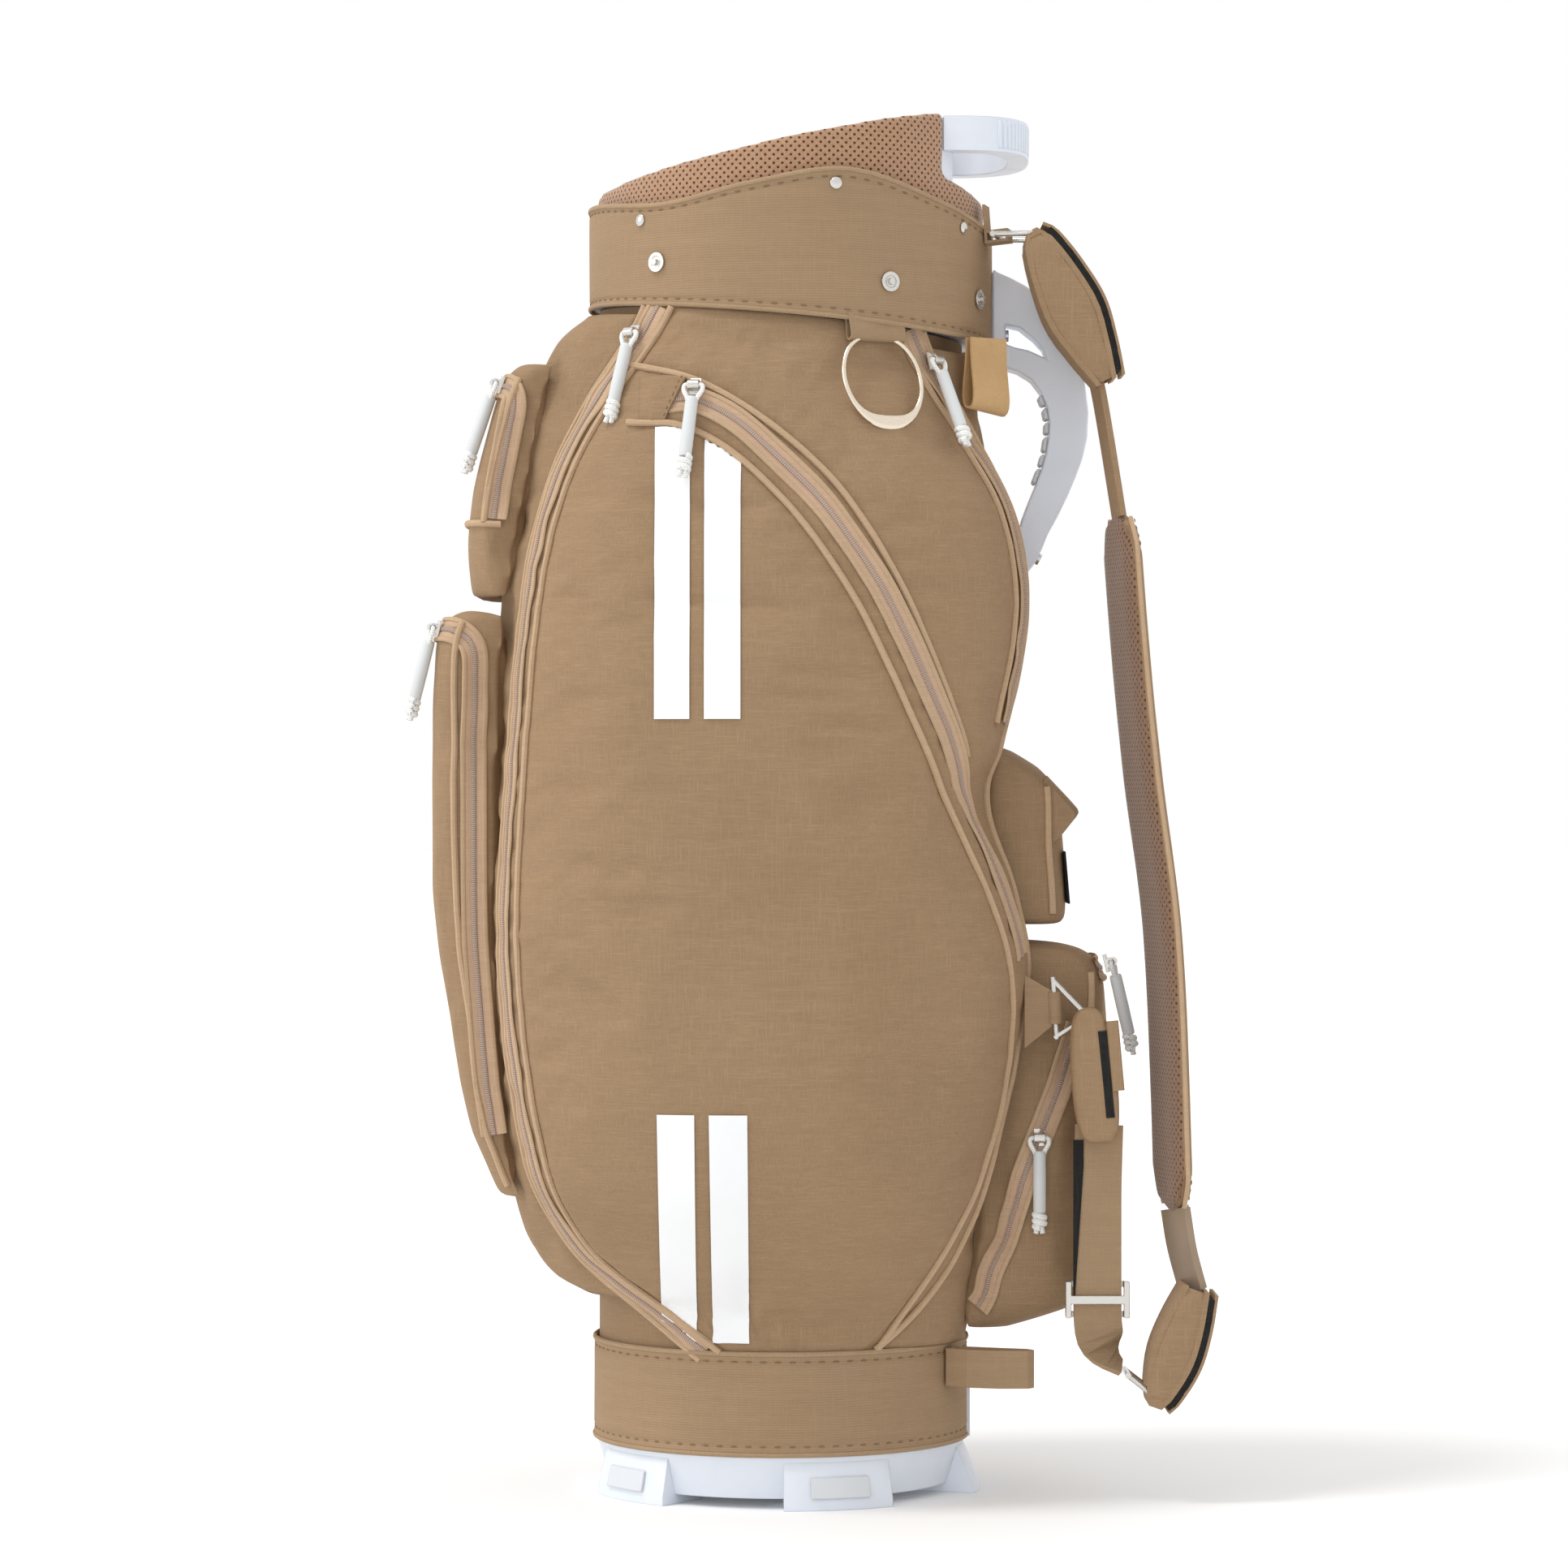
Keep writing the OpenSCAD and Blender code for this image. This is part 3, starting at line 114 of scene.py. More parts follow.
class Finish:
    """A material in the making: its nodes, its shader, and short ways to add to it."""

    def __init__(self, name, rough=0.8, **sockets):
        self.material = bpy.data.materials.new(name)
        self.material.use_nodes = True
        self.tree = self.material.node_tree
        self.shader = self.tree.nodes["Principled BSDF"]
        self.shader.inputs["Roughness"].default_value = rough
        for socket, value in sockets.items():
            self.shader.inputs[socket.replace("_", " ")].default_value = value

    def node(self, kind, **inputs):
        made = self.tree.nodes.new("ShaderNode" + kind)
        for key, value in inputs.items():
            spot = made.inputs[int(key[1:]) if key[1:].isdigit() else key.replace("_", " ")]
            if isinstance(value, bpy.types.NodeSocket):
                self.tree.links.new(value, spot)
            else:
                spot.default_value = value
        return made

    def place(self, scale=(1, 1, 1), turn=(0, 0, 0), source="Object"):
        coord = self.tree.nodes.new("ShaderNodeTexCoord")
        return self.node("Mapping", Vector=coord.outputs[source], Scale=scale,
                         Rotation=turn).outputs[0]

    def grain(self, scale, detail=2, rough=0.5, source="Object"):
        return self.node("TexNoise", Vector=self.place(scale, source=source), Scale=1.0,
                         Detail=detail, Roughness=rough).outputs["Fac"]

    def wave(self, vector, axis="X", scale=1.0, distortion=0.0):
        made = self.node("TexWave", Vector=vector, Scale=scale, Distortion=distortion)
        made.wave_type, made.bands_direction = "BANDS", axis
        return made.outputs["Fac"]

    def maths(self, does, a, b=0.0):
        made = self.node("Math", _0=a, _1=b)
        made.operation = does
        return made.outputs[0]

    def blend(self, share, a, b):
        made = self.tree.nodes.new("ShaderNodeMix")
        made.data_type = "RGBA"
        for spot, value in ((made.inputs[0], share), (made.inputs[6], a), (made.inputs[7], b)):
            if isinstance(value, bpy.types.NodeSocket):
                self.tree.links.new(value, spot)
            else:
                spot.default_value = (*value, 1) if isinstance(value, tuple) and len(value) == 3 else value
        return made.outputs[2]

    def spread(self, value, low, high, out_low=0.0, out_high=1.0):
        return self.node("MapRange", Value=value, _1=low, _2=high, _3=out_low,
                         _4=out_high).outputs[0]

    def finish(self, colour, height=None, strength=0.3, depth=0.0004, roughness=None, edge=0):
        if isinstance(colour, bpy.types.NodeSocket):
            self.tree.links.new(colour, self.shader.inputs["Base Color"])
        else:
            self.shader.inputs["Base Color"].default_value = (*colour, 1)
        if roughness is not None:
            self.tree.links.new(roughness, self.shader.inputs["Roughness"])
        normal = None
        if edge:
            normal = self.node("Bevel", Radius=edge).outputs[0]
        if height is not None:
            bump = self.node("Bump", Height=height, Strength=strength, Distance=depth)
            if normal:
                self.tree.links.new(normal, bump.inputs["Normal"])
            normal = bump.outputs[0]
        if normal:
            self.tree.links.new(normal, self.shader.inputs["Normal"])
        return self.material


# %% [markdown]
# ### Woven cloths
# Canvas is two sets of threads. Noise stretched along one axis and squeezed along the other looks
# like threads of uneven thickness, and two of them, crossed, look like a plain weave. The bands
# round the mouth and foot have a stronger weft, which shows as fine level ribs.

# %% Woven cloths


def woven(name, light, dark, across=1500, ribs=0.0, rough=0.86, sheen=0.25, patch=0.10):
    f = Finish(name, rough, Sheen_Weight=sheen, Sheen_Roughness=0.5, Specular_IOR_Level=0.25)
    f.shader.inputs["Sheen Tint"].default_value = (*light, 1)
    weft = f.grain((90, 90, across), 3)
    warp = f.grain((across, across, 70), 3)
    weave = f.maths("MAXIMUM", weft, warp)
    weave = f.spread(weave, 0.45, 0.72)
    if ribs:
        rib = f.wave(f.place((1, 1, 1)), "Z", ribs)
        weave = f.maths("ADD", f.maths("MULTIPLY", weave, 0.5), f.maths("MULTIPLY", rib, 0.5))
    broad = f.spread(f.grain((9, 9, 7), 3), 0.3, 0.7)
    slub = f.spread(f.grain((14, 14, 260), 2), 0.35, 0.75)
    tone = f.maths("ADD", f.maths("MULTIPLY", weave, 0.55),
                   f.maths("ADD", f.maths("MULTIPLY", broad, patch * 3),
                           f.maths("MULTIPLY", slub, 0.15)))
    return f.finish(f.blend(tone, dark, light), weave, 0.28, 0.00035)


canvas = woven("canvas", (.352, .234, .135), (.252, .163, .091))
band_cloth = woven("ribbed_band", (.385, .262, .155), (.265, .175, .10), ribs=210, patch=0.06)
binding_cloth = woven("binding_tape", (.43, .30, .185), (.31, .21, .122), patch=0.05)
piping_cloth = woven("piping", (.56, .395, .25), (.42, .29, .18), across=2200, patch=0.03)
zip_cloth = woven("zip_tape", (.58, .405, .275), (.45, .305, .20), across=2200, patch=0.03)
webbing_cloth = woven("webbing", (.40, .275, .162), (.26, .172, .10), ribs=330, patch=0.05)
lining_cloth = woven("divider_cloth", (.10, .062, .042), (.05, .032, .022), patch=0.05)
collar_back = woven("collar_lining", (.30, .165, .095), (.20, .11, .062), patch=0.05)
hook_cloth = woven("hook_and_loop", (.022, .021, .020), (.006, .006, .006), across=900, sheen=0.1)
print("woven cloths made")

# %% [markdown]
# ### Perforated mesh
# The collar and the inside of the shoulder pad are a brown knit with small round holes in
# staggered rows. A Voronoi texture with no randomness is a square lattice of cells, and turned by
# 45 degrees its cells stagger; each cell's distance from its middle gives the hole.

# %% Perforated mesh


def perforated(name, round_axis, painted_shade=1.0):
    f = Finish(name, 0.88, Sheen_Weight=0.3, Sheen_Roughness=0.5, Specular_IOR_Level=0.2)
    coord = f.tree.nodes.new("ShaderNodeTexCoord").outputs["Object"]
    parts = f.node("SeparateXYZ", Vector=coord)
    if round_axis:
        turn = f.maths("ARCTAN2", parts.outputs[1], parts.outputs[0])
        along = f.maths("MULTIPLY", turn, 0.118)
    else:
        along = f.maths("ADD", parts.outputs[1], f.maths("MULTIPLY", parts.outputs[0], -0.6))
    flat = f.node("CombineXYZ", X=along, Y=parts.outputs[2]).outputs[0]
    lattice = f.node("Mapping", Vector=flat, Rotation=(0, 0, math.radians(45)),
                     Scale=(280, 280, 280)).outputs[0]
    cells = f.node("TexVoronoi", Vector=lattice, Scale=1.0, Randomness=0.0)
    cells.voronoi_dimensions = "2D"
    hole = f.spread(cells.outputs["Distance"], 0.17, 0.27)
    knit = f.spread(f.grain((700, 700, 700), 3), 0.35, 0.65)
    # The knit's two colours are scaled by the last argument; below 1 this gives a darker copy of the mesh, which is
    # painted shade.
    cloth = f.blend(f.maths("ADD", f.maths("MULTIPLY", knit, 0.6),
                            f.maths("MULTIPLY", f.grain((12, 12, 12), 2), 0.4)),
                    tuple(c * painted_shade for c in (.33, .185, .105)), tuple(c * painted_shade for c in (.47, .275, .165)))
    height = f.maths("MULTIPLY", hole, f.maths("ADD", 0.8, f.maths("MULTIPLY", knit, 0.2)))
    return f.finish(f.blend(hole, (.055, .028, .016), cloth), height, 0.6, 0.0008)


collar_mesh = perforated("perforated_mesh", True)
# The inside of the shoulder pad is the same mesh at 0.55 of its colour: painted shade for the side turned away from the
# light.
pad_mesh_painted_shade = perforated("pad_perforated_mesh_painted_shade", False, 0.55)

# %% [markdown]
# ### Plastics, rubber, leather and metal
# Moulded plastic is smooth with a faint orange-peel relief and a soft light on its edges, which a
# Bevel node draws. Metals have a clear reflection, brushed a little. Leather gets a pebbled grain
# from small Voronoi cells.

# %% Plastics, rubber, leather and metal


def moulding(name, colour, rough=0.38, edge=0.0012):
    f = Finish(name, rough, Specular_IOR_Level=0.5, Subsurface_Weight=0.04, Subsurface_Scale=0.01)
    peel = f.grain((900, 900, 900), 2)
    scuff = f.spread(f.grain((60, 60, 60), 4), 0.45, 0.8)
    low = tuple(c * 0.93 for c in colour)
    return f.finish(f.blend(f.maths("MULTIPLY", scuff, 0.5), colour, low), peel, 0.06, 0.0002,
                    f.spread(scuff, 0, 1, rough, rough + 0.12), edge)


def plated(name, colour, rough=0.22, edge=0.0005):
    f = Finish(name, rough, Metallic=1.0)
    brushed = f.spread(f.grain((2500, 300, 2500), 2), 0.3, 0.7)
    return f.finish(f.blend(brushed, tuple(c * 0.82 for c in colour), colour), brushed, 0.05,
                    0.0001, f.spread(brushed, 0, 1, rough, rough + 0.15), edge)


def hide(name, light, dark):
    f = Finish(name, 0.55, Specular_IOR_Level=0.4, Sheen_Weight=0.1)
    pebble = f.node("TexVoronoi", Vector=f.place((1100, 1100, 1100)), Scale=1.0).outputs["Distance"]
    cloudy = f.spread(f.grain((40, 40, 40), 3), 0.3, 0.7)
    return f.finish(f.blend(f.maths("MULTIPLY", f.maths("ADD", pebble, cloudy), 0.5), dark, light),
                    pebble, 0.25, 0.0003, f.spread(pebble, 0, 1, 0.45, 0.65))


def braided(name, light, dark):
    f = Finish(name, 0.85, Sheen_Weight=0.3, Specular_IOR_Level=0.2)
    one = f.wave(f.place((1, 1, 1), (0.7, 0, 0.7)), "DIAGONAL", 260)
    two = f.wave(f.place((1, 1, 1), (-0.7, 0, -0.7)), "DIAGONAL", 260)
    plait = f.maths("MAXIMUM", one, two)
    return f.finish(f.blend(plait, dark, light), plait, 0.4, 0.0004)


white_plastic = moulding("white_plastic", (.69, .73, .80))
pale_rubber = moulding("pale_rubber", (.62, .64, .67), 0.6)
grip_rubber = moulding("grip_rubber", (.58, .61, .63), 0.55)
dark_plastic = moulding("dark_plastic", (.035, .034, .034), 0.5)
satin_metal = plated("satin_metal", (.72, .70, .66))
champagne_metal = plated("champagne_metal", (.86, .76, .62), 0.18)
mustard_leather = hide("mustard_leather", (.56, .36, .17), (.42, .25, .10))
pull_cord = braided("pull_cord", (.86, .86, .84), (.62, .62, .60))
sleeve_rubber = moulding("pull_sleeve", (.62, .64, .64), 0.65, 0.0006)
stripe_print = Finish("stripe_print", 0.5, Specular_IOR_Level=0.35)
print_weave = stripe_print.maths("MAXIMUM", stripe_print.grain((90, 90, 1500), 2),
                                 stripe_print.grain((1500, 1500, 90), 2))
stripe_white = stripe_print.finish(
    stripe_print.blend(stripe_print.grain((30, 30, 30), 3), (.86, .87, .88), (.80, .81, .82)),
    print_weave, 0.15, 0.0002)
print(len(bpy.data.materials), "finishes")

# %% [markdown]
# ## The body's shape
# The body is round at the mouth and foot and swells between them. A few tables say how far it
# stands out at each height, and one function turns a height share and an angle into a point, so
# cloth, piping, zips and stitches can all find the same surface. These lengths are millimetres.

# %% Shape tables
# Rows are [share of the height, value]; a smooth curve runs through them.
FRONT_SHARE = [[0, .02], [.037, .13], [.094, .6], [.174, 1.09], [.368, 1.41], [.545, 1.3],
               [.723, 1.09], [.82, .82], [.9, .52], [.965, .26], [1, .15]]
SIDE_SHARE = [[0, .02], [.037, .17], [.094, .52], [.174, .83], [.368, 1], [.545, 1.02],
              [.723, .91], [.82, .74], [.9, .52], [.965, .26], [1, .15]]
BACK_SHARE = [[0, .02], [.037, .07], [.094, .22], [.174, .48], [.368, .91], [.45, .75],
              [.545, .35], [.6, .56], [.723, .87], [.82, .78], [.9, .39], [.965, .17], [1, .13]]
FRONT_EDGE = [[0, 29], [.037, 44], [.094, 62], [.174, 67], [.368, 70], [.723, 68], [.82, 65],
              [.9, 58], [.965, 49], [1, 44]]
BACK_EDGE = [[0, 30], [.037, 44], [.094, 55], [.174, 62], [.368, 70], [.545, 66], [.723, 72],
             [.82, 70], [.9, 62], [.965, 52], [1, 47]]
SQUARENESS = [[0, 2], [.037, 2.05], [.094, 2.35], [.174, 2.6], [.82, 2.6], [.9, 2.3],
              [.965, 2.05], [1, 2]]
FRONT_OUT = [[.05, .15], [.065, .43], [.09, .62], [.14, .8], [.25, .97], [.5, 1], [.72, .93],
             [.79, .79], [.9, .62], [.96, .42], [.99, .12]]
BACK_OUT = [[.005, 2], [.1, 5], [.5, 10], [.6, 15], [.7, 20], [.78, 23], [.83, 20], [.9, 12],
            [.985, 9]]
COVER_R, BULGE, LOW, BODY = 111.5, 46, 92, 620


def curve(table, t):
    """Value at t of the smooth curve through a table."""
    i = 0
    while i < len(table) - 2 and t > table[i + 1][0]:
        i += 1

    def slope(k):
        a, b = table[max(k - 1, 0)], table[min(k + 1, len(table) - 1)]
        return (b[1] - a[1]) / (b[0] - a[0])
    w = table[i + 1][0] - table[i][0]
    s = min(max((t - table[i][0]) / w, 0), 1)
    return ((2 * s**3 - 3 * s**2 + 1) * table[i][1] + (s**3 - 2 * s**2 + s) * slope(i) * w
            + (3 * s**2 - 2 * s**3) * table[i + 1][1] + (s**3 - s**2) * slope(i + 1) * w)


def level(t, x):
    """Height in mm of the tilted plane at share t of the body."""
    return LOW + t * (BODY - 0.093 * x)


def side_point(t, a, out=0):
    """Point of the near side pocket, a degrees round from straight sideways."""
    ax = COVER_R + BULGE * curve(FRONT_SHARE if a < 0 else BACK_SHARE, t) + out
    ay = COVER_R + BULGE * curve(SIDE_SHARE, t) + out
    k = curve(SQUARENESS, t)
    s, c = math.sin(math.radians(a)), math.cos(math.radians(a))
    r = 1 / ((abs(s) / ax)**k + (abs(c) / ay)**k)**(1 / k)
    return Vector((r * s, -r * c, level(t, r * s)))


def side_corner(t, back):
    """The front or back edge of the near side pocket at share t."""
    return side_point(t, curve(BACK_EDGE, t) if back else -curve(FRONT_EDGE, t))


def panel_point(t, s, back):
    """Point of the spine (back) or front panel, s running from -1 to 1 across it."""
    corner = side_corner(t, back)
    middle = COVER_R + (curve(BACK_OUT, t) if back else 61 * curve(FRONT_OUT, t))
    x = abs(corner.x) + (middle - abs(corner.x)) * (1 - abs(s)**3.5)
    x = x if back else -x
    return Vector((x, abs(corner.y) * s, level(t, x)))


print("side pocket middle", [round(v) for v in side_point(0.4, 0)])

# %% [markdown]
# ## Pieces from a bmesh
# Every new piece starts as a bmesh: an in-memory mesh with operators. `piece` turns it into an
# object, smooths its shading except at sharp edges, parents it to the empty of the body it rides
# on, and hides the plain solids it stands for.

# %% Pieces from a bmesh
MM = 0.001


def piece(name, bm, finish, body="bag", stands_for=(), sharp=40, wall=0.0, quiet=False):
    mesh = bpy.data.meshes.new(name)
    bm.to_mesh(mesh)
    bm.free()
    for f in finish if isinstance(finish, (list, tuple)) else [finish]:
        mesh.materials.append(f)
    mesh.shade_smooth()
    mesh.set_sharp_from_angle(angle=math.radians(sharp))
    made = bpy.data.objects.new(name, mesh)
    scene.collection.objects.link(made)
    if wall:
        thick = made.modifiers.new("wall", "SOLIDIFY")
        thick.thickness, thick.offset = wall * MM, -1
    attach(made, body)
    if stands_for:
        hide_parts(*stands_for)
    if not quiet:
        print(f"{name}: {len(mesh.polygons)} faces on {body}")
    return made


def grid(place, across, up, closed=False):
    """A sheet across x up squares; place(u, v) says where each corner goes, in mm."""
    bm = bmesh.new()
    bmesh.ops.create_grid(bm, x_segments=across, y_segments=up, size=0.5)
    spots = [(v.co.x + 0.5, v.co.y + 0.5) for v in bm.verts]
    sheet_uv = bm.loops.layers.uv.new("UVMap")
    for v, (a, b) in zip(bm.verts, spots):
        for loop in v.link_loops:
            loop[sheet_uv].uv = (a, b)
        v.co = place(a, b) * MM
    if closed:
        bmesh.ops.remove_doubles(bm, verts=bm.verts, dist=1e-6)
    return bm


def face_out(bm, centre=None):
    """Turns a sheet's faces so that they look away from the bag's middle line."""
    bm.normal_update()
    look = 0.0
    for f in bm.faces:
        m = f.calc_center_median()
        away = m - centre if centre else Vector((m.x, m.y, 0))
        look += f.normal.dot(away) * f.calc_area()
    if look < 0:
        bmesh.ops.reverse_faces(bm, faces=bm.faces)
    bm.normal_update()
    return bm


def mirrored(bm):
    """The same piece on the far side."""
    twin = bm.copy()
    bmesh.ops.scale(twin, vec=(1, -1, 1), verts=twin.verts)
    bmesh.ops.reverse_faces(twin, faces=twin.faces)
    twin.normal_update()
    return twin


# %% [markdown]
# ## Cloth that hangs between its seams
# Cloth is not flat between seams: it bellies out a little and sags. A coarse copy of the sheet is
# held at its edges and seams and runs through Blender's cloth solver; the fine sheet then
# borrows the coarse one's shifts, so the seams stay crisp. A shift is capped at a few
# millimetres.

# %% Cloth that hangs between its seams


def run_cloth(made, held, press, loose, stiff=12.0, frames=20):
    group = made.vertex_groups.new(name="held")
    group.add(held, 1.0, "ADD")
    cloth = made.modifiers.new("cloth", "CLOTH")
    s = cloth.settings
    s.quality, s.mass = 6, 0.25
    s.tension_stiffness = s.compression_stiffness = stiff
    s.shear_stiffness, s.bending_stiffness = 4, 0.35
    s.use_pressure, s.uniform_pressure_force = True, press
    s.shrink_min = -loose
    s.effector_weights.gravity = 0.0
    if held:
        s.vertex_group_mass = "held"
    cloth.collision_settings.use_collision = False
    cloth.point_cache.frame_start, cloth.point_cache.frame_end = 1, frames
    for f in range(1, frames + 1):
        scene.frame_set(f)
    ready = made.evaluated_get(bpy.context.evaluated_depsgraph_get())
    after = [v.co.copy() for v in ready.data.vertices]
    made.modifiers.remove(cloth)
    scene.frame_set(1)
    return after


def settle(place, seams, across=44, up=84, press=0.9, loose=0.012, cap=5.0, hold=5.0):
    """How far each (u, v) of a sheet moves, in mm, once its cloth has bellied out."""
    bm = face_out(grid(place, across, up))
    mesh = bpy.data.meshes.new("trial")
    bm.to_mesh(mesh)
    bm.free()
    trial = bpy.data.objects.new("trial", mesh)
    scene.collection.objects.link(trial)
    before = [v.co.copy() for v in mesh.vertices]
    rim = {i for e in mesh.edges for i in e.vertices if False}
    wide = across + 1
    held = [i for i in range(len(before))
            if i % wide in (0, across) or i // wide in (0, up)
            or (seams and seams.find(before[i])[2] < hold * MM)]
    after = run_cloth(trial, held, press, loose)
    bpy.data.objects.remove(trial)
    moves = [(b - a) / MM for a, b in zip(before, after)]
    moves = [m * min(1, cap / m.length) if m.length > 0 else m for m in moves]

    def shift(u, v):
        x, y = min(max(u, 0), 1) * across, min(max(v, 0), 1) * up
        i, j = min(int(x), across - 1), min(int(y), up - 1)
        p, q = x - i, y - j
        a, b = j * wide + i, (j + 1) * wide + i
        return (moves[a] * (1 - p) + moves[a + 1] * p) * (1 - q) + (moves[b] * (1 - p) + moves[b + 1] * p) * q
    print(f"cloth settled, up to {max(m.length for m in moves):.1f} mm")
    return shift


# %% [markdown]
# ## Seam lines
# A seam is a few [height share, angle] pairs on the near side pocket. They are joined by a smooth
# curve and cut into even steps. Close to a seam the cloth is pulled in by a millimetre or two and
# puckers across the stitches.

# %% Seam lines
EDGE_TS = [.999, .98, .95, .9, .85, .8, .74, .68, .62, .56, .5, .43, .37, .3, .24, .18, .13, .09, .06,
           .035, .015, .002]
FRONT_LINE = [(t, 1.2 - curve(FRONT_EDGE, t)) for t in EDGE_TS]
FRONT_ZIP = [(t, 6.4 - curve(FRONT_EDGE, t)) for t in EDGE_TS]
FRONT_INNER = [(t, 11.2 - curve(FRONT_EDGE, t)) for t in EDGE_TS]
UPPER_LINE = [(.937, -36), (.930, -24), (.912, -12), (.884, 0), (.845, 11.5), (.80, 19.5), (.745, 26.4),
              (.69, 32), (.64, 37.5), (.585, 45)]
CURVED_ZIP = [(.905, -29), (.908, -22), (.893, -12), (.866, -3), (.826, 8.2), (.79, 14.5), (.745, 21.4),
              (.69, 27.6), (.64, 33), (.585, 40.2), (.53, 47.2), (.48, 53), (.43, 58), (.39, 61.5)]
CURVED_LINE = [(.883, -33.5), (.884, -25), (.868, -14.5), (.842, -5.5), (.803, 4.2), (.765, 11), (.72, 17.4),
               (.665, 23.4), (.61, 29.4), (.56, 36), (.51, 42.4), (.46, 48), (.41, 53.2), (.36, 57), (.30, 60),
               (.24, 60.5), (.18, 56), (.13, 50.5), (.085, 45), (.04, 38.5), (.002, 31)]
BACK_LINE = [(t, curve(BACK_EDGE, t) - 1.2) for t in EDGE_TS]
BACK_ZIP = [(t, curve(BACK_EDGE, t) - 6.2) for t in EDGE_TS if t > .56]
BACK_INNER = [(t, curve(BACK_EDGE, t) - 11) for t in EDGE_TS if t > .56]


def smooth_line(rows, step=3.0, point=side_point):
    """Even steps, in mm, along the smooth curve through (share, angle) rows."""
    n = len(rows) - 1
    first = [[i / n, row[0]] for i, row in enumerate(rows)]
    second = [[i / n, row[1]] for i, row in enumerate(rows)]
    fine = [point(curve(first, i / (n * 12)), curve(second, i / (n * 12))) for i in range(n * 12 + 1)]
    out, gone = [fine[0]], 0.0
    for a, b in zip(fine, fine[1:]):
        gone += (b - a).length
        if gone >= step:
            out.append(b)
            gone = 0.0
    return out


def seam_tree(lines):
    spots = [p * MM for line in lines for p in line]
    tree = KDTree(len(spots))
    for i, p in enumerate(spots):
        tree.insert(p, i)
    tree.balance()
    return tree


side_lines = {
    "front": smooth_line(FRONT_LINE), "front_in": smooth_line(FRONT_INNER),
    "upper": smooth_line(UPPER_LINE), "curved": smooth_line(CURVED_LINE),
    "back": smooth_line(BACK_LINE), "back_in": smooth_line(BACK_INNER)}
side_seams = seam_tree(side_lines.values())
print({k: len(v) for k, v in side_lines.items()}, "steps")


def gather(p, seams, depth=1.7, reach=5.0):
    """How far, in mm, the cloth at p (metres) stands in from its smooth shape."""
    d = seams.find(p)[2] / MM
    pull = depth * math.exp(-(d / reach)**2)
    pucker = 0.55 * math.exp(-d / 16) * noise.noise(p * 95)
    broad = 1.5 * noise.noise(Vector((p.x * 9, p.y * 9, p.z * 4.5)) + Vector((3.1, 0, 0)))
    fold = 0.8 * noise.noise(Vector((p.x * 26, p.y * 26, p.z * 8)))
    calm = 1 - math.exp(-(d / 14)**2)
    return pull + pucker - (broad + fold) * calm


def sewn_shell(name, place, seams, finish, across, up, stands_for, shift=None, **gather_args):
    """A fine sheet with its belly, its seams and its small folds, and its thickness."""
    shift = shift or (lambda u, v: Vector())
    bm = face_out(grid(lambda u, v: place(u, v) + shift(u, v), across, up))
    ins = [v.normal * (-gather(v.co, seams, **gather_args) * MM) for v in bm.verts]
    for v, d in zip(bm.verts, ins):
        if not v.is_boundary:
            v.co += d
    bm.normal_update()
    far = mirrored(bm)
    made = piece(name, bm, finish, stands_for=stands_for, wall=1.0)
    return made, far


# %% [markdown]
# ## The side pockets
# Each side of the bag is one large sheet of canvas, cut by the zips' seams. It follows the shape
# tables, bellies out between its seams, and its twin is its mirror image.

# %% The side pockets


def side_place(u, v):
    t = 0.001 + 0.998 * v
    a0, a1 = -curve(FRONT_EDGE, t), curve(BACK_EDGE, t)
    return side_point(t, a0 + (a1 - a0) * u)


side_shift = settle(side_place, side_seams)
near_side, far_bm = sewn_shell("side_panel_near", side_place, side_seams, canvas, 150, 290,
                               ["side_pocket_near"], side_shift)
far_side = piece("side_panel_far", far_bm, canvas, stands_for=["side_pocket_far"], wall=1.0)

# %% [markdown]
# ## Front body and spine
# Between the two side pockets stand a deep front body, which holds two pockets, and a shallow
# spine behind the handles. Both are sheets of the same canvas.

# %% Front body and spine
panel_lines = [[panel_point(t / 100, s, back) for t in range(8, 98, 1)]
               for s in (-1, 1) for back in (False, True)]
panel_seams = seam_tree(panel_lines)


def front_place(u, v):
    return panel_point(0.05 + 0.94 * v, 2 * u - 1, False)


def spine_place(u, v):
    return panel_point(0.004 + 0.98 * v, 2 * u - 1, True)


front_body, spare = sewn_shell("front_sheet", front_place, panel_seams, canvas, 80, 200, ["front_body"],
                               settle(front_place, None, 30, 70, cap=3))
spare.free()
spine_panel, spare = sewn_shell("spine_sheet", spine_place, panel_seams, canvas, 60, 200, ["spine_panel"],
                                settle(spine_place, None, 26, 70, cap=2))
spare.free()

# %% [markdown]
# ## Sewn pockets
# The four small pockets are boxes of cloth. Each starts as a copy of its plain solid, is rebuilt
# in even squares by a voxel remesh, smoothed, and swollen by the cloth solver like a cushion, with
# a cap on how far a point may go. Then it gets one level of subdivision and small folds.

# %% Sewn pockets


def solid_copy(node):
    """The merged mesh of one of the frame's solids."""
    bm = bmesh.new()
    bm.from_mesh(cad_nodes[node].data)
    bmesh.ops.remove_doubles(bm, verts=bm.verts, dist=1e-5)
    return bm


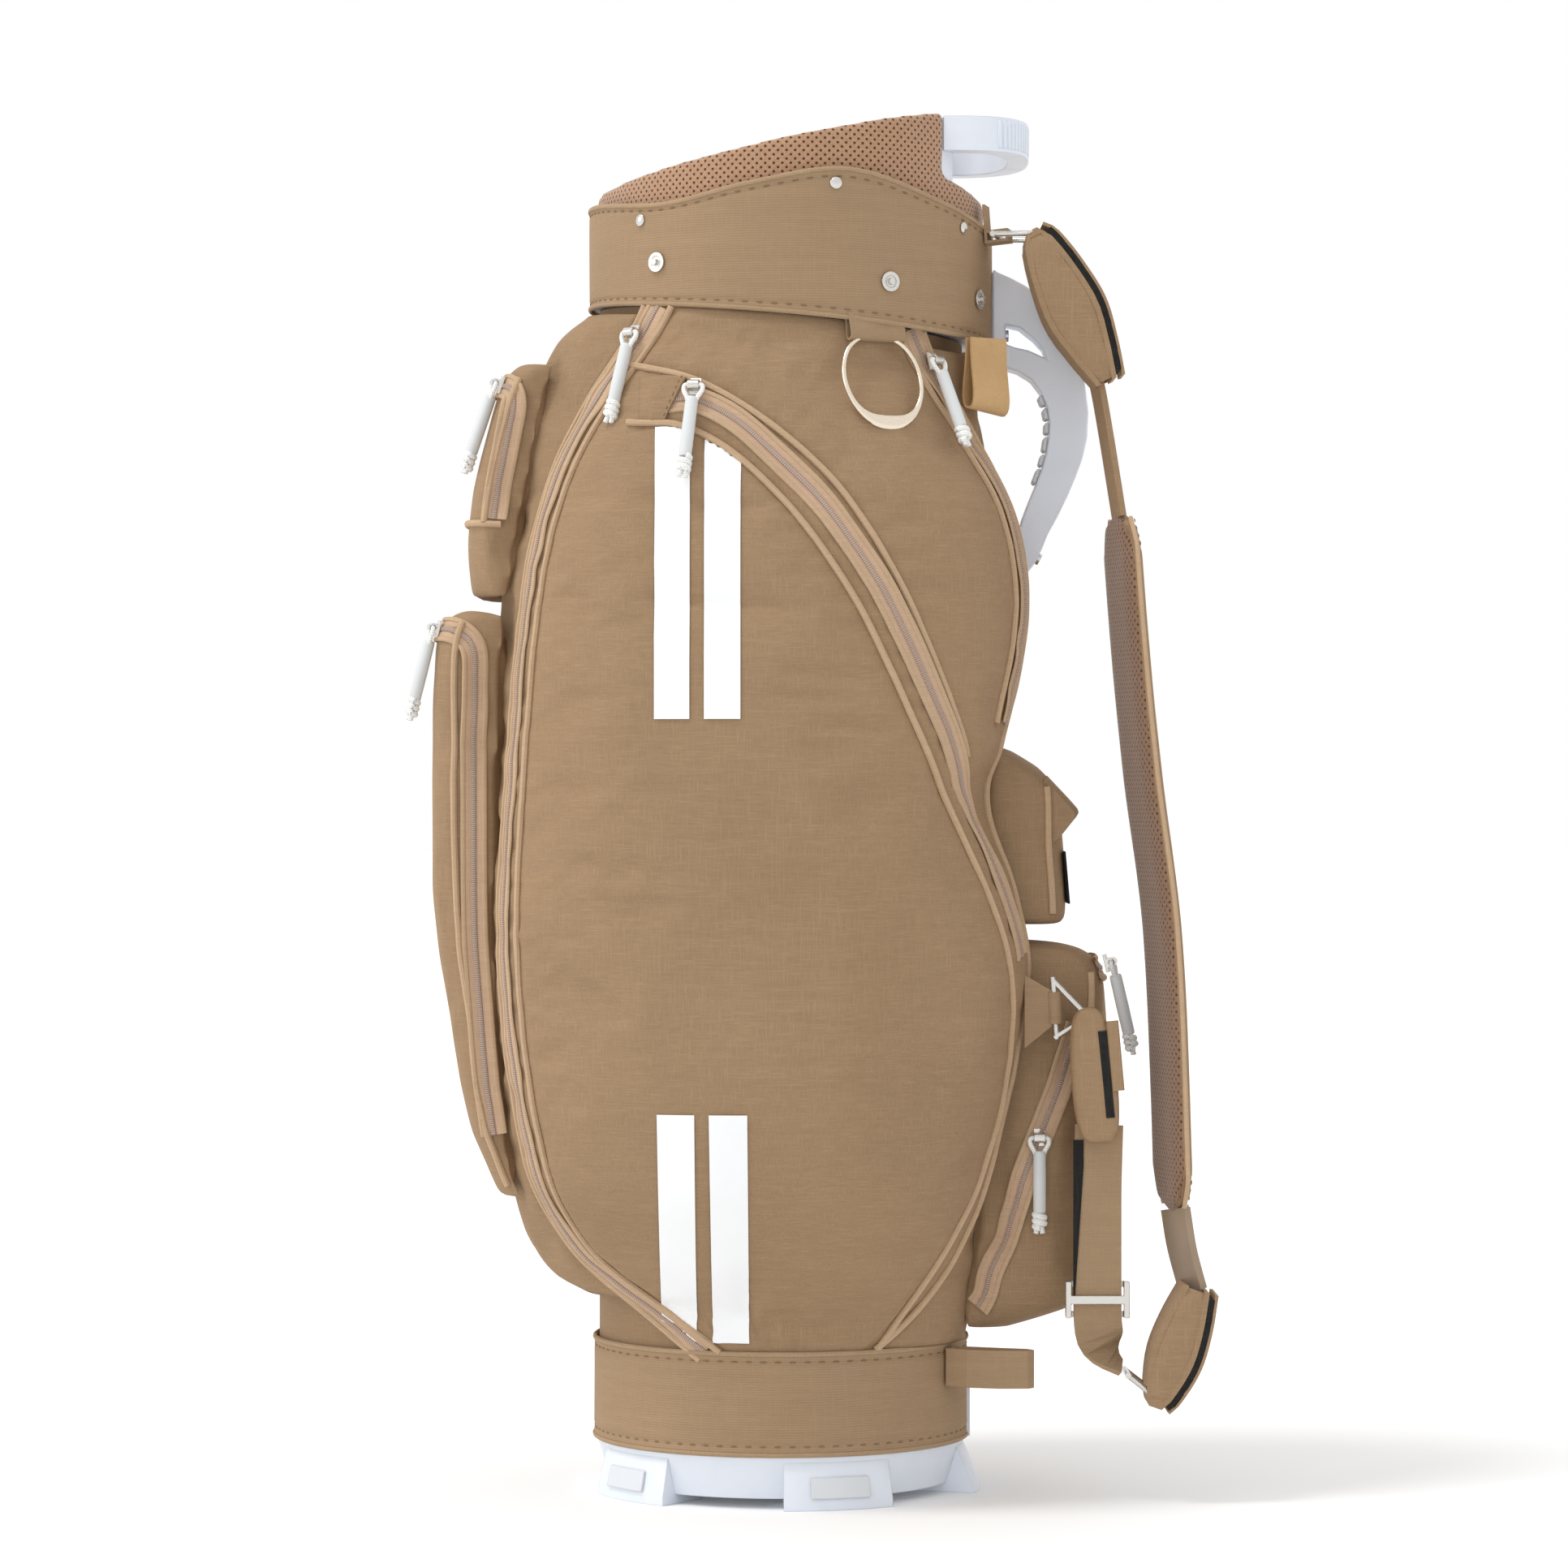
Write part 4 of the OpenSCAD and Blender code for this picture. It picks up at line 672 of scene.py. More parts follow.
def stuffed(node, name, finish, body="bag", square=4.0, rounds=5, shrink=0.6, press=3.0, cap=4.0,
            fold=0.7, fold_size=30):
    bm = solid_copy(node)
    mesh = bpy.data.meshes.new(name)
    bm.to_mesh(mesh)
    bm.free()
    trial = bpy.data.objects.new(name + "_trial", mesh)
    scene.collection.objects.link(trial)
    even = trial.modifiers.new("even", "REMESH")
    even.mode, even.voxel_size = "VOXEL", square * MM
    ready = trial.evaluated_get(bpy.context.evaluated_depsgraph_get())
    even_mesh = bpy.data.meshes.new_from_object(ready)
    trial.modifiers.clear()
    trial.data = even_mesh
    bm = bmesh.new()
    bm.from_mesh(even_mesh)
    for _ in range(rounds):
        bmesh.ops.smooth_vert(bm, verts=bm.verts, factor=0.5, use_axis_x=True, use_axis_y=True, use_axis_z=True)
    bm.normal_update()
    for v in bm.verts:
        v.co -= v.normal * shrink * MM
    bm.to_mesh(even_mesh)
    bm.free()
    before = [v.co.copy() for v in even_mesh.vertices]
    after = run_cloth(trial, [], press, 0.0, 15)
    for v, a, b in zip(even_mesh.vertices, before, after):
        m = b - a
        v.co = a + m * min(1, cap * MM / m.length) if m.length > 0 else a
    bpy.data.objects.remove(trial)
    bm = bmesh.new()
    bm.from_mesh(even_mesh)
    bm.normal_update()
    for v in bm.verts:
        v.co += v.normal * fold * MM * noise.noise(v.co * fold_size)
    made = piece(name, bm, finish, body, [node], sharp=180)
    soft = made.modifiers.new("soft", "SUBSURF")
    soft.levels = soft.render_levels = 1
    return made


front_upper = stuffed("front_upper_pocket", "front_upper_pouch", canvas)
front_lower = stuffed("front_lower_pocket", "front_lower_pouch", canvas)
back_upper = stuffed("back_upper_pocket", "back_upper_pouch", canvas)
back_lower = stuffed("back_lower_pocket", "back_lower_pouch", canvas)

# %% [markdown]
# ## Bands round the mouth and the foot
# A band is a strip of ribbed cloth wrapped round a hard ring. The mouth band's top edge rises and
# falls in a wave and is bound with tape; both bands are topstitched near their edges.

# %% Bands round the mouth and the foot
MOUTH_R, MOUTH_X, BASE_R = 124, 6, 115
BAND_TOP = [[-1, 0], [-.62, -1], [-.2, 14], [.28, 28], [.74, 17], [1, 7]]


def band_top(x):
    return level(1, x) + 61 + curve(BAND_TOP, (x - MOUTH_X) / MOUTH_R)


def mouth_point(turn, share, out=0.0):
    a = turn * 2 * math.pi
    x = MOUTH_X + (MOUTH_R + out) * math.cos(a)
    low, high = level(1, x) + 0.3, band_top(x)
    z = low + (high - low) * share
    roll = 0.35 * noise.noise(Vector((x * .02, a * 2, z * .02)))
    return Vector((MOUTH_X + (MOUTH_R + out + roll) * math.cos(a), (MOUTH_R + out + roll) * math.sin(a), z))


def band_sheet(name, where, up, node, thick=1.6):
    bm = grid(where, 240, up, closed=True)
    return piece(name, face_out(bm), band_cloth, stands_for=[node], wall=thick)


def mouth_sheet(u, v):
    dip = -0.9 * math.exp(-((v - 0.055) / 0.014)**2) - 0.9 * math.exp(-((v - 0.945) / 0.014)**2)
    return mouth_point(u, v, dip - 0.2)


def foot_point(turn, share, out=0.0):
    a = turn * 2 * math.pi
    x = (BASE_R + out) * math.cos(a)
    z = 32.6 + (level(0, x) + 1.2 - 32.6) * share
    roll = 0.4 * noise.noise(Vector((math.cos(a) * 2, math.sin(a) * 2, z * .02)))
    return Vector(((BASE_R + out + roll) * math.cos(a), (BASE_R + out + roll) * math.sin(a), z))


def foot_sheet(u, v):
    dip = -0.8 * math.exp(-((v - 0.09) / 0.02)**2) - 0.8 * math.exp(-((v - 0.92) / 0.02)**2)
    return foot_point(u, v, dip - 0.2)


mouth_low, mouth_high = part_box("mouth_band")
foot_low, foot_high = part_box("lower_band")
print("bands", [round(v * 1000) for v in (mouth_low.z, mouth_high.z, foot_low.z, foot_high.z)])
mouth_band = band_sheet("mouth_band_sheet", mouth_sheet, 48, "mouth_band")
lower_band = band_sheet("lower_band_sheet", foot_sheet, 36, "lower_band")

# %% [markdown]
# ## Things that follow a line
# Piping, binding, zip tape and stitches all follow a line. A line is a list of points with the
# direction that looks out of the cloth. `ribbon` lays a small cross-section along it: an open
# one makes tape and a closed ring makes a cord. `stitches` sets small rounded dashes end to end.

# %% Things that follow a line


def line_frames(line, loop=False):
    """Point, forward, out and sideways at every step of a line of (point, out) pairs."""
    n = len(line)
    frames = []
    for i, (p, out) in enumerate(line):
        a = line[(i - 1) % n if loop else max(i - 1, 0)][0]
        b = line[(i + 1) % n if loop else min(i + 1, n - 1)][0]
        along = (b - a).normalized()
        side = along.cross(out).normalized()
        frames.append((p, along, side.cross(along).normalized(), side))
    return frames


def ribbon(line, section, loop=False, bm=None):
    """Lays a section of (sideways, outwards) points, in mm, along a line. A section that ends
    where it starts is closed."""
    frames = line_frames(line, loop)
    if loop:
        frames.append(frames[0])
    n, m = len(frames) - 1, len(section) - 1
    gone = [0.0]
    for a, b in zip(frames, frames[1:]):
        gone.append(gone[-1] + (b[0] - a[0]).length)
    part = bmesh.new()
    bmesh.ops.create_grid(part, x_segments=m, y_segments=n, size=0.5)
    uv = part.loops.layers.uv.new("UVMap")
    width = sum(math.dist(a, b) for a, b in zip(section, section[1:])) or 1.0
    for v in part.verts:
        i, j = round((v.co.y + 0.5) * n), round((v.co.x + 0.5) * m)
        p, along, out, side = frames[i]
        for loop_ in v.link_loops:
            loop_[uv].uv = (gone[i] * MM, j / m * width * MM)
        v.co = (p + side * section[j][0] + out * section[j][1]) * MM
    if section[0] == section[-1] or loop:
        bmesh.ops.remove_doubles(part, verts=part.verts, dist=1e-6)
    if section[0] == section[-1] and not loop:
        bmesh.ops.holes_fill(part, edges=[e for e in part.edges if e.is_boundary])
    bmesh.ops.recalc_face_normals(part, faces=part.faces)
    return join_into(bm, part)


def join_into(bm, part):
    if bm is None:
        return part
    mesh = bpy.data.meshes.new("part")
    part.to_mesh(mesh)
    part.free()
    bm.from_mesh(mesh)
    bpy.data.meshes.remove(mesh)
    return bm


def ring_section(r, lift=0.0, sides=8, flat=1.0):
    pts = [(r * math.cos(2 * math.pi * i / sides), lift + r * flat * math.sin(2 * math.pi * i / sides))
           for i in range(sides)]
    return pts + [pts[0]]


def stitches(line, length=3.2, gap=2.2, r=0.42, lift=0.25, bm=None):
    """Rounded thread dashes along a line."""
    bm = bm or bmesh.new()
    frames = line_frames(line)
    gone, due = 0.0, 0.0
    for (p, along, out, side), (q, *_) in zip(frames, frames[1:]):
        step = (q - p).length
        while due < gone + step:
            at = p + (q - p) * ((due - gone) / max(step, 1e-6)) + out * lift
            turn = Matrix((along, side, out)).transposed().to_4x4()
            size = Matrix.Diagonal((length / 2 * MM, r * MM, r * MM, 1))
            bmesh.ops.create_uvsphere(bm, u_segments=6, v_segments=4, radius=1.0,
                                      matrix=Matrix.Translation(at * MM) @ turn @ size
                                      @ Matrix.Rotation(math.radians(90), 4, "Y"))
            due += length + gap
        gone += step
    return bm


thread = woven("thread", (.30, .205, .12), (.17, .115, .065), across=4000, patch=0.02)


def band_line(where, share, out=0.0, steps=240):
    """A level ring of points round a band."""
    spots = [where(i / steps, share, out) for i in range(steps)]
    mid = MOUTH_X if where is mouth_point else 0
    return [(p, Vector((p.x - mid, p.y, 0)).normalized()) for p in spots]


sewing = bmesh.new()
for where, shares in ((mouth_point, (0.055, 0.945)), (foot_point, (0.09, 0.92))):
    for share in shares:
        ring = band_line(where, share, -0.75)
        stitches(ring + ring[:1], 4.2, 4.6, 0.5, 0.1, sewing)
piece("band_stitches", sewing, thread)

binding = bmesh.new()
rolled = [(-1.2, 1.0), (0, 1.5), (1.6, 1.1), (2.4, 0), (2.4, -1.0), (1.6, -1.9), (-1.2, -1.9), (-1.2, 1.0)]
for where, share, flip in ((mouth_point, 0.992, 1), (mouth_point, 0.008, -1), (foot_point, 0.99, 1),
                           (foot_point, 0.012, -1)):
    edge = band_line(where, share, -0.4)
    ribbon(edge, [(-s * flip * 0.75, o * 0.75) for s, o in rolled], True, binding)
piece("band_binding", binding, binding_cloth)

# %% [markdown]
# ## Piping and zips on the side pockets
# The lines found earlier are now laid on the finished cloth: for each step the nearest point of
# the sheet and its outward direction. Piping is a covered cord. A zip is a tape, two lighter
# lips and a coil; the coil's teeth are a wave along the tape's own length.

# %% Piping and zips on the side pockets


def surface_of(made):
    ready = made.evaluated_get(bpy.context.evaluated_depsgraph_get())
    return BVHTree.FromPolygons([v.co for v in made.data.vertices],
                                [tuple(p.vertices) for p in made.data.polygons]) if ready else None


near_cloth = surface_of(near_side)


def laid(points, cloth):
    """The points, brought onto a cloth, with the direction out of it."""
    out = []
    for p in points:
        spot, normal, *_ = cloth.find_nearest(p * MM)
        if normal.dot(Vector((spot.x, spot.y, 0))) < 0 and cloth is near_cloth:
            normal = -normal
        out.append((spot / MM, normal))
    for _ in range(5):
        out = [out[0]] + [((a[0] + b[0] * 2 + c[0]) / 4, (a[1] + b[1] * 2 + c[1]).normalized())
                          for a, b, c in zip(out, out[1:], out[2:])] + [out[-1]]
    return out


coil = Finish("zip_coil", 0.42, Specular_IOR_Level=0.5)
tooth = coil.wave(coil.place((1, 1, 1), source="UV"), "X", 240)
coil_teeth = coil.finish(coil.blend(tooth, (.25, .17, .125), (.47, .35, .28)), tooth, 0.8, 0.0004)

PIPE = ring_section(2.1, 1.2)
TAPE = [(-8, .35), (-7.6, .85), (-2.6, 1.0), (-2.2, .8), (2.2, .8), (2.6, 1.0), (7.6, .85), (8, .35)]
LIP = [(-1.7, 0.7), (-1.3, 1.5), (-.2, 1.9), (1.0, 1.6), (1.5, .7)]
COIL = [(-1.6, .8), (-1.3, 1.6), (0, 1.95), (1.3, 1.6), (1.6, .8)]


def zip_run(points, cloth, tape, lips, teeth):
    line = laid(points, cloth)
    ribbon(line, TAPE, False, tape)
    ribbon(line, COIL, False, teeth)
    for side in (-1, 1):
        ribbon(line, [(side * 6.6 + s, o) for s, o in LIP], False, lips)


tape_bm, lips_bm, teeth_bm, pipe_bm = (bmesh.new() for _ in range(4))
for rows in (FRONT_ZIP, CURVED_ZIP, BACK_ZIP):
    zip_run(smooth_line(rows, 3), near_cloth, tape_bm, lips_bm, teeth_bm)
for name in ("front", "front_in", "upper", "curved", "back", "back_in"):
    points = side_lines[name]
    if name in ("upper", "curved"):
        # These two run on to the left, under the front piping.
        start = (points[0] - points[2]).normalized()
        points = [points[0] + start * k for k in ((17, 14, 11, 8, 5, 2.5) if name == "upper" else (12, 9, 6, 3))] + points
    ribbon(laid(points, near_cloth), PIPE, False, pipe_bm)
for label, bm, finish, slot, stands in (
        ("zip_tape", tape_bm, zip_cloth, "zip_tape", "side_zips_"), ("zip_lips", lips_bm, piping_cloth, "zip_tape", None),
        ("zip_teeth", teeth_bm, coil_teeth, "zip_tape", None), ("piping", pipe_bm, piping_cloth, "canvas", None)):
    twin = mirrored(bm)
    piece(label + "_near", bm, finish, stands_for=[stands + "near"] if stands else ())
    piece(label + "_far", twin, finish, stands_for=[stands + "far"] if stands else ())

# %% [markdown]
# ## Placket at the curved zip's start
# The curved zip starts under a small stitched piece of canvas between the two lines of piping.

# %% Placket at the curved zip's start


def placket(u, v):
    """Left end (u = 0) to the slanting seam (u = 1), from the lower piping to the upper one."""
    z = 646.5 + 28 * v - 2 * u * (1 - v)
    x = -84 + (15 + 15 * v) * u
    hit, normal, *_ = near_cloth.ray_cast(Vector((x * MM, -0.4, z * MM)), Vector((0, 1, 0)), 0.5)
    normal = normal if normal.y < 0 else -normal
    return hit / MM + normal * (0.4 + 2.6 * min(u / 0.5, 1) * min(1, 6 * v * (1 - v) + 0.4))


cover = face_out(grid(placket, 20, 20))
seam = []
for k in range(17):
    here, step = placket(0.90, 0.06 + 0.88 * k / 16), Vector((0, -1, 0))
    seam.append((here, step))
seam_bm = stitches(seam, 2.6, 1.8, 0.35, 0.2)
for label, bm, finish in (("placket", cover, canvas), ("placket_stitches", seam_bm, thread)):
    twin = mirrored(bm)
    piece(label + "_near", bm, finish, wall=1.2 if finish is canvas else 0)
    piece(label + "_far", twin, finish, wall=1.2 if finish is canvas else 0)

# %% [markdown]
# ## White stripes
# Two pairs of printed white stripes run up each side. Each is a thin sheet laid on the cloth by
# looking straight at it from the side; the upper pair is cut off along the curved zip's lower edge.

# %% White stripes


def pocket_foot(x):
    """Lowest height at x where the side pocket still is, just inside its front piping."""
    edge = [side_corner(t / 400, False) for t in range(1, 60)]
    return max([p.z + 6 for p in edge if p.x <= x + 5][:1] or [95])


def stripe(x_low, x_high, z_low, z_high, bm, cut=None):
    """A thin print between two uprights; its top follows cut(x) where that is given."""
    def place(u, v):
        x = x_low(v) + (x_high(v) - x_low(v)) * u
        top = min(z_high, cut(x)) if cut else z_high
        low = max(z_low, pocket_foot(x))
        z = low + (top - low) * v
        hit, normal, *_ = near_cloth.ray_cast(Vector((x * MM, -0.4, z * MM)), Vector((0, 1, 0)), 0.5)
        normal = normal if normal.y < 0 else -normal
        return (hit + normal * 0.0010) / MM
    part = face_out(grid(place, 14, max(int((z_high - z_low) / 2.4), 4)))
    return join_into(bm, part)


def curved_edge(x):
    """Height of the lower edge of the curved zip's piping at x."""
    line = side_lines["curved"]
    best = min(line, key=lambda p: abs(p.x - x) + (0 if p.z > 380 else 900))
    return best.z - 3.2


def between(a, b):
    return lambda v: a + (b - a) * v


print_bm = bmesh.new()
for low, high in ((-74, -53.3), (-44.8, -23.5)):
    stripe(between(low, low), between(high, high), 470, 720, print_bm, curved_edge)
for low, high in ((-72.5, -50.5), (-42, -19.5)):
    stripe(between(low + 2, low), between(high + 1, high), 96, 238, print_bm)
twin = mirrored(print_bm)
piece("stripes_near", print_bm, stripe_white, sharp=180)
piece("stripes_far", twin, stripe_white, sharp=180)

# %% [markdown]
# ## Moulded and turned parts
# Hard parts keep the frame's exact shape but lose their knife edges. The copy is merged, flat
# triangles are dissolved into whole faces, and a Bevel modifier rounds what is left.

# %% Moulded and turned parts


def moulded(node, finish, body="bag", edge=0.8, segments=2, name=None, sharp=32):
    bm = solid_copy(node)
    bmesh.ops.dissolve_limit(bm, angle_limit=math.radians(0.6), verts=bm.verts, edges=bm.edges)
    made = piece(name or node + "_part", bm, finish, body, [node], sharp, quiet=True)
    rounded = made.modifiers.new("rounded", "BEVEL")
    rounded.width, rounded.segments = edge * MM, segments
    rounded.limit_method, rounded.angle_limit = "ANGLE", math.radians(35)
    rounded.harden_normals = True
    return made


moulded("base_moulding", white_plastic, edge=1.2)
moulded("foot_pads", pale_rubber, edge=0.5)
moulded("mouth_ring", white_plastic, edge=2.0, segments=3)
moulded("carry_handle", white_plastic, edge=4.0, segments=4)
moulded("grip_pads", grip_rubber, edge=1.0)
for node in ("handle_screws", "band_rivets", "hood_studs"):
    moulded(node, satin_metal, edge=0.4)
moulded("strap_rings", satin_metal, "strap", edge=0.3)
moulded("tri_glide", satin_metal, "tri_glide", edge=0.6)
for i in range(1, 11):
    moulded(f"slider_{i}", satin_metal, f"slider_{i}", edge=0.5)
print("moulded parts done")

# %% [markdown]
# ## Ribs on the lift handle
# The handle at the mouth has upright ribs on its outside, as wide as a finger is thick. Each rib
# is a small bevelled block turned to face out of the handle's curve.

# %% Ribs on the lift handle


def block(bm, at, forward, out, up, size, round_off=0.6):
    """A bevelled block of size (along, out, up) mm, its middle at a point."""
    turn = Matrix((forward, out, up)).transposed().to_4x4()
    part = bmesh.new()
    bmesh.ops.create_cube(part, size=1.0)
    bmesh.ops.scale(part, vec=Vector(size) * MM, verts=part.verts)
    bmesh.ops.bevel(part, geom=part.edges[:], offset=round_off * MM, segments=2, profile=0.5,
                    affect="EDGES", material=-1)
    bmesh.ops.transform(part, matrix=Matrix.Translation(at * MM) @ turn, verts=part.verts)
    return join_into(bm, part)


lift_low, lift_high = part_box("mouth_ring")
cut_x = MOUTH_X + 112 * 0.82
reach, arm = lift_high.x / MM - cut_x - 0.3, 73.0
lift_z = lift_high.z / MM
rib_bm = bmesh.new()
up = Vector((0, 0, 1))
for i in range(-13, 14):
    a = i * 0.078
    spot = Vector((cut_x + reach * abs(math.cos(a))**(2 / 2.9), arm * math.copysign(abs(math.sin(a))**(2 / 2.9), a), 0))
    normal = Vector((abs(math.cos(a))**(2 - 2 / 2.9) / reach, math.copysign(abs(math.sin(a))**(2 - 2 / 2.9), a) / arm, 0))
    out = normal.normalized() if normal.length else Vector((1, 0, 0))
    block(rib_bm, spot + up * (lift_z - 10.5) - out * 0.4, up.cross(out) * -1, out, up, (2.6, 2.0, 17))
piece("lift_handle_ribs", rib_bm, white_plastic)

# %% [markdown]
# ## The padded collar
# Inside the mouth band stands a padded collar of brown perforated mesh. It is stuffed like the
# pockets, in small squares so that its wavy rim stays crisp.

# %% The padded collar
collar = stuffed("mesh_collar", "mesh_collar_pad", collar_mesh, square=2.6, rounds=3, shrink=0.3, press=1.5,
                 cap=1.2, fold=0.5)
grid_part = moulded("divider_grid", collar_back, edge=2.5, segments=3)
for v in grid_part.data.vertices:
    # The last bar is kept under the low back rim, so that it doesn't stand above the collar.
    if v.co.x > 0.0985:
        v.co.z = min(v.co.z, 0.786 - 0.42 * (v.co.x - 0.0985))

# %% [markdown]
# ## Towel ring, loop and tag
# The towel ring is one bent rod that widens into a crescent at the bottom. A webbing loop holds
# it under the mouth band, and next to it hangs a folded leather tag.

# %% Towel ring, loop and tag


def joint_frame(joint, part):
    """Pivot in mm, hinge axis, hanging direction and outward direction of a hinged part."""
    hinge = joints[joint]
    pivot = Vector(hinge["pos_m"]) / MM
    axis = Vector(hinge["axis"]).normalized()
    low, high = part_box(part)
    hang = (low + high) / 2 / MM - pivot
    hang = (hang - axis * hang.dot(axis)).normalized()
    out = axis.cross(hang).normalized()
    if out.dot(Vector((pivot.x, pivot.y, 0))) < 0:
        out = -out
    return pivot, axis, hang, out


def swept_rod(line, radius, sides=10, bm=None, loop=False):
    """A rod along a line of points; radius(share) gives (sideways, outwards) half sizes."""
    frames = line_frames(line, loop)
    if loop:
        frames.append(frames[0])
    n = len(frames) - 1
    part = bmesh.new()
    bmesh.ops.create_grid(part, x_segments=sides, y_segments=n, size=0.5)
    for v in part.verts:
        i, j = round((v.co.y + 0.5) * n), round((v.co.x + 0.5) * sides)
        p, along, out, side = frames[i]
        w, t = radius(i / n)
        a = 2 * math.pi * j / sides
        v.co = (p + side * (w * math.cos(a)) + out * (t * math.sin(a))) * MM
    bmesh.ops.remove_doubles(part, verts=part.verts, dist=1e-6)
    if not loop:
        bmesh.ops.holes_fill(part, edges=[e for e in part.edges if e.is_boundary])
    bmesh.ops.recalc_face_normals(part, faces=part.faces)
    return join_into(bm, part)


pivot, axis, hang, out = joint_frame("towel_ring_swing", "towel_ring")
ring_line = []
for i in range(72):
    a = 2 * math.pi * i / 72
    wide = 26.0 * math.copysign(abs(math.sin(a))**0.86, math.sin(a))
    drop = 27.5 - 27.5 * math.cos(a)
    ring_line.append((pivot + axis * wide + hang * drop + out * (5.0 * drop / 55), out))


def crescent(share):
    low = math.exp(-((share - 0.5) / 0.10)**2)
    return 1.5 + 3.0 * low, 1.5 + 0.1 * low


ring_bm = swept_rod(ring_line, crescent, 12, loop=True)
piece("towel_ring_rod", ring_bm, champagne_metal, "towel_ring", ["towel_ring"], sharp=60)

loop_section = [(math.cos(a) * 3.6, math.sin(a) * 3.6) for a in [math.pi * k / 8 - math.pi / 2 for k in range(9)]]
loop_path = [(-13, 1.9), (-8, 2.6)] + [(3.0 * math.sin(a), 3.0 * math.cos(a)) for a in
                                       [math.pi * k / 8 for k in range(9)]] + [(-8, -2.0), (-13, -2.4)]
loop_line = [(pivot + hang * h + out * o, None) for h, o in loop_path]
loop_line = [(p, (p - pivot - hang * min((p - pivot).dot(hang), 0)).normalized()) for p, _ in loop_line]
flat = 18.5
loop_bm = ribbon(loop_line, [(-flat, .6), (flat, .6), (flat, -.6), (-flat, -.6), (-flat, .6)])
piece("towel_webbing", loop_bm, webbing_cloth, stands_for=["towel_loop"], sharp=50)

tag_low, tag_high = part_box("leather_tag")
tag_mid = (tag_low + tag_high) / 2 / MM
wide_way = Vector((0.80, 0.58, -0.16)).normalized()
tag_path = []
for k in range(22):
    s = k / 21
    drop = math.sin(math.pi * s)
    z = tag_high.z / MM - 1 - (tag_high.z - tag_low.z) / MM * drop**0.9
    open_by = 5.5 * math.sin(2 * math.pi * s) * drop
    tag_path.append(tag_mid + wide_way.cross(Vector((0, 0, 1))).normalized() * (2.2 - 4.4 * s + open_by)
                    + Vector((0, 0, z - tag_mid.z)))
tag_line = []
for k, p in enumerate(tag_path):
    ahead = (tag_path[min(k + 1, 21)] - tag_path[max(k - 1, 0)]).normalized()
    tag_line.append((p, wide_way.cross(ahead).normalized()))
tag_bm = ribbon(tag_line, [(-13.5, .7), (13.5, .7), (13.5, -.7), (-13.5, -.7), (-13.5, .7)])
piece("leather_tag_fold", tag_bm, mustard_leather, stands_for=["leather_tag"], sharp=50)

moulded("umbrella_loop", webbing_cloth, edge=0.7)
moulded("strap_tabs", webbing_cloth, edge=0.7)
moulded("glove_patch", hook_cloth, edge=0.5)

# %% [markdown]
# ## Zips and piping on the small pockets
# Each pouch opens along its top and down its near side. The line is a rough path round the
# pouch, brought onto the swollen cloth.

# %% Zips and piping on the small pockets


def resampled(points, step=3.0):
    out = [points[0]]
    for a, b in zip(points, points[1:]):
        n = max(int((b - a).length / step), 1)
        out += [a + (b - a) * (k / n) for k in range(1, n + 1)]
    for _ in range(6):
        out = [out[0]] + [(a + b * 2 + c) / 4 for a, b, c in zip(out, out[1:], out[2:])] + [out[-1]]
    return out


def pouch_box(node):
    low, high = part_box(node)
    return low / MM, high / MM


def shelf(side, x, y, t):
    return Vector((side * x, y, level(t, side * x)))


UPPER_D = [[.708, 16], [.74, 22], [.77, 26], [.8, 28], [.885, 23], [.92, 20.5], [.938, 15], [.944, 9]]
LOWER_D = [[.134, .19], [.209, .53], [.311, .75], [.41, 1], [.6, 1.05], [.665, 1.06], [.685, .96], [.698, .74], [.703, .5]]
BACK_D = [[.01, -.03], [.038, .83], [.08, .88], [.179, .97], [.344, 1.02], [.38, 1], [.395, .9]]


def front_base(t):
    return COVER_R + 61 * curve(FRONT_OUT, t)


def upper_out(t):
    return curve(UPPER_D, t)


def lower_out(t):
    return 36 * curve(LOWER_D, t)


def half_wide(t):
    return min(abs(side_corner(t, False).y) - 5, 56)


def pouch_zip(cloth, out, t_top, t_low, share, side=-1, base=front_base, wide=half_wide):
    """Across the top from the far side, round the near corner and down the near face."""
    top = [shelf(side, base(t_top) + out(t_top), y, t_top) for y in (42, 20, 0, -20, -38)]
    x = base(t_top) + out(t_top) * share
    down = [t_top - 0.012 - (t_top - 0.012 - t_low) * k / 10 for k in range(11)]
    side_run = [shelf(side, base(t) + out(t) * share, -wide(t) - 1, t) for t in down]
    return laid(resampled(top + [shelf(side, x + out(t_top) * 0.25, -wide(t_top), t_top)] + side_run), cloth)


def pouch_piping(cloth, out, t_top, t_low, y_side, share=1.0, side=-1, base=front_base, wide=half_wide):
    ts = [t_top - (t_top - t_low) * k / 30 for k in range(31)]
    return laid(resampled([shelf(side, base(t) + out(t) * share, y_side * (wide(t) + 0.5), t) for t in ts]), cloth)


pouch_tape, pouch_teeth, pouch_lips, pouch_pipe = (bmesh.new() for _ in range(4))
upper_cloth, lower_cloth = surface_of(front_upper), surface_of(front_lower)
back_cloth, back_up_cloth = surface_of(back_lower), surface_of(back_upper)


def add_zip(line):
    ribbon(line, TAPE, False, pouch_tape)
    ribbon(line, COIL, False, pouch_teeth)
    for s in (-1, 1):
        ribbon(line, [(s * 6.6 + a, b) for a, b in LIP], False, pouch_lips)


add_zip(pouch_zip(upper_cloth, upper_out, .915, .787, 0.50))
add_zip(pouch_zip(lower_cloth, lower_out, .678, .20, 0.36))
for y_side in (-1, 1):
    ribbon(pouch_piping(upper_cloth, upper_out, .925, .784, y_side, .72), PIPE, False, pouch_pipe)
    ribbon(pouch_piping(lower_cloth, lower_out, .69, .15, y_side, .72), PIPE, False, pouch_pipe)

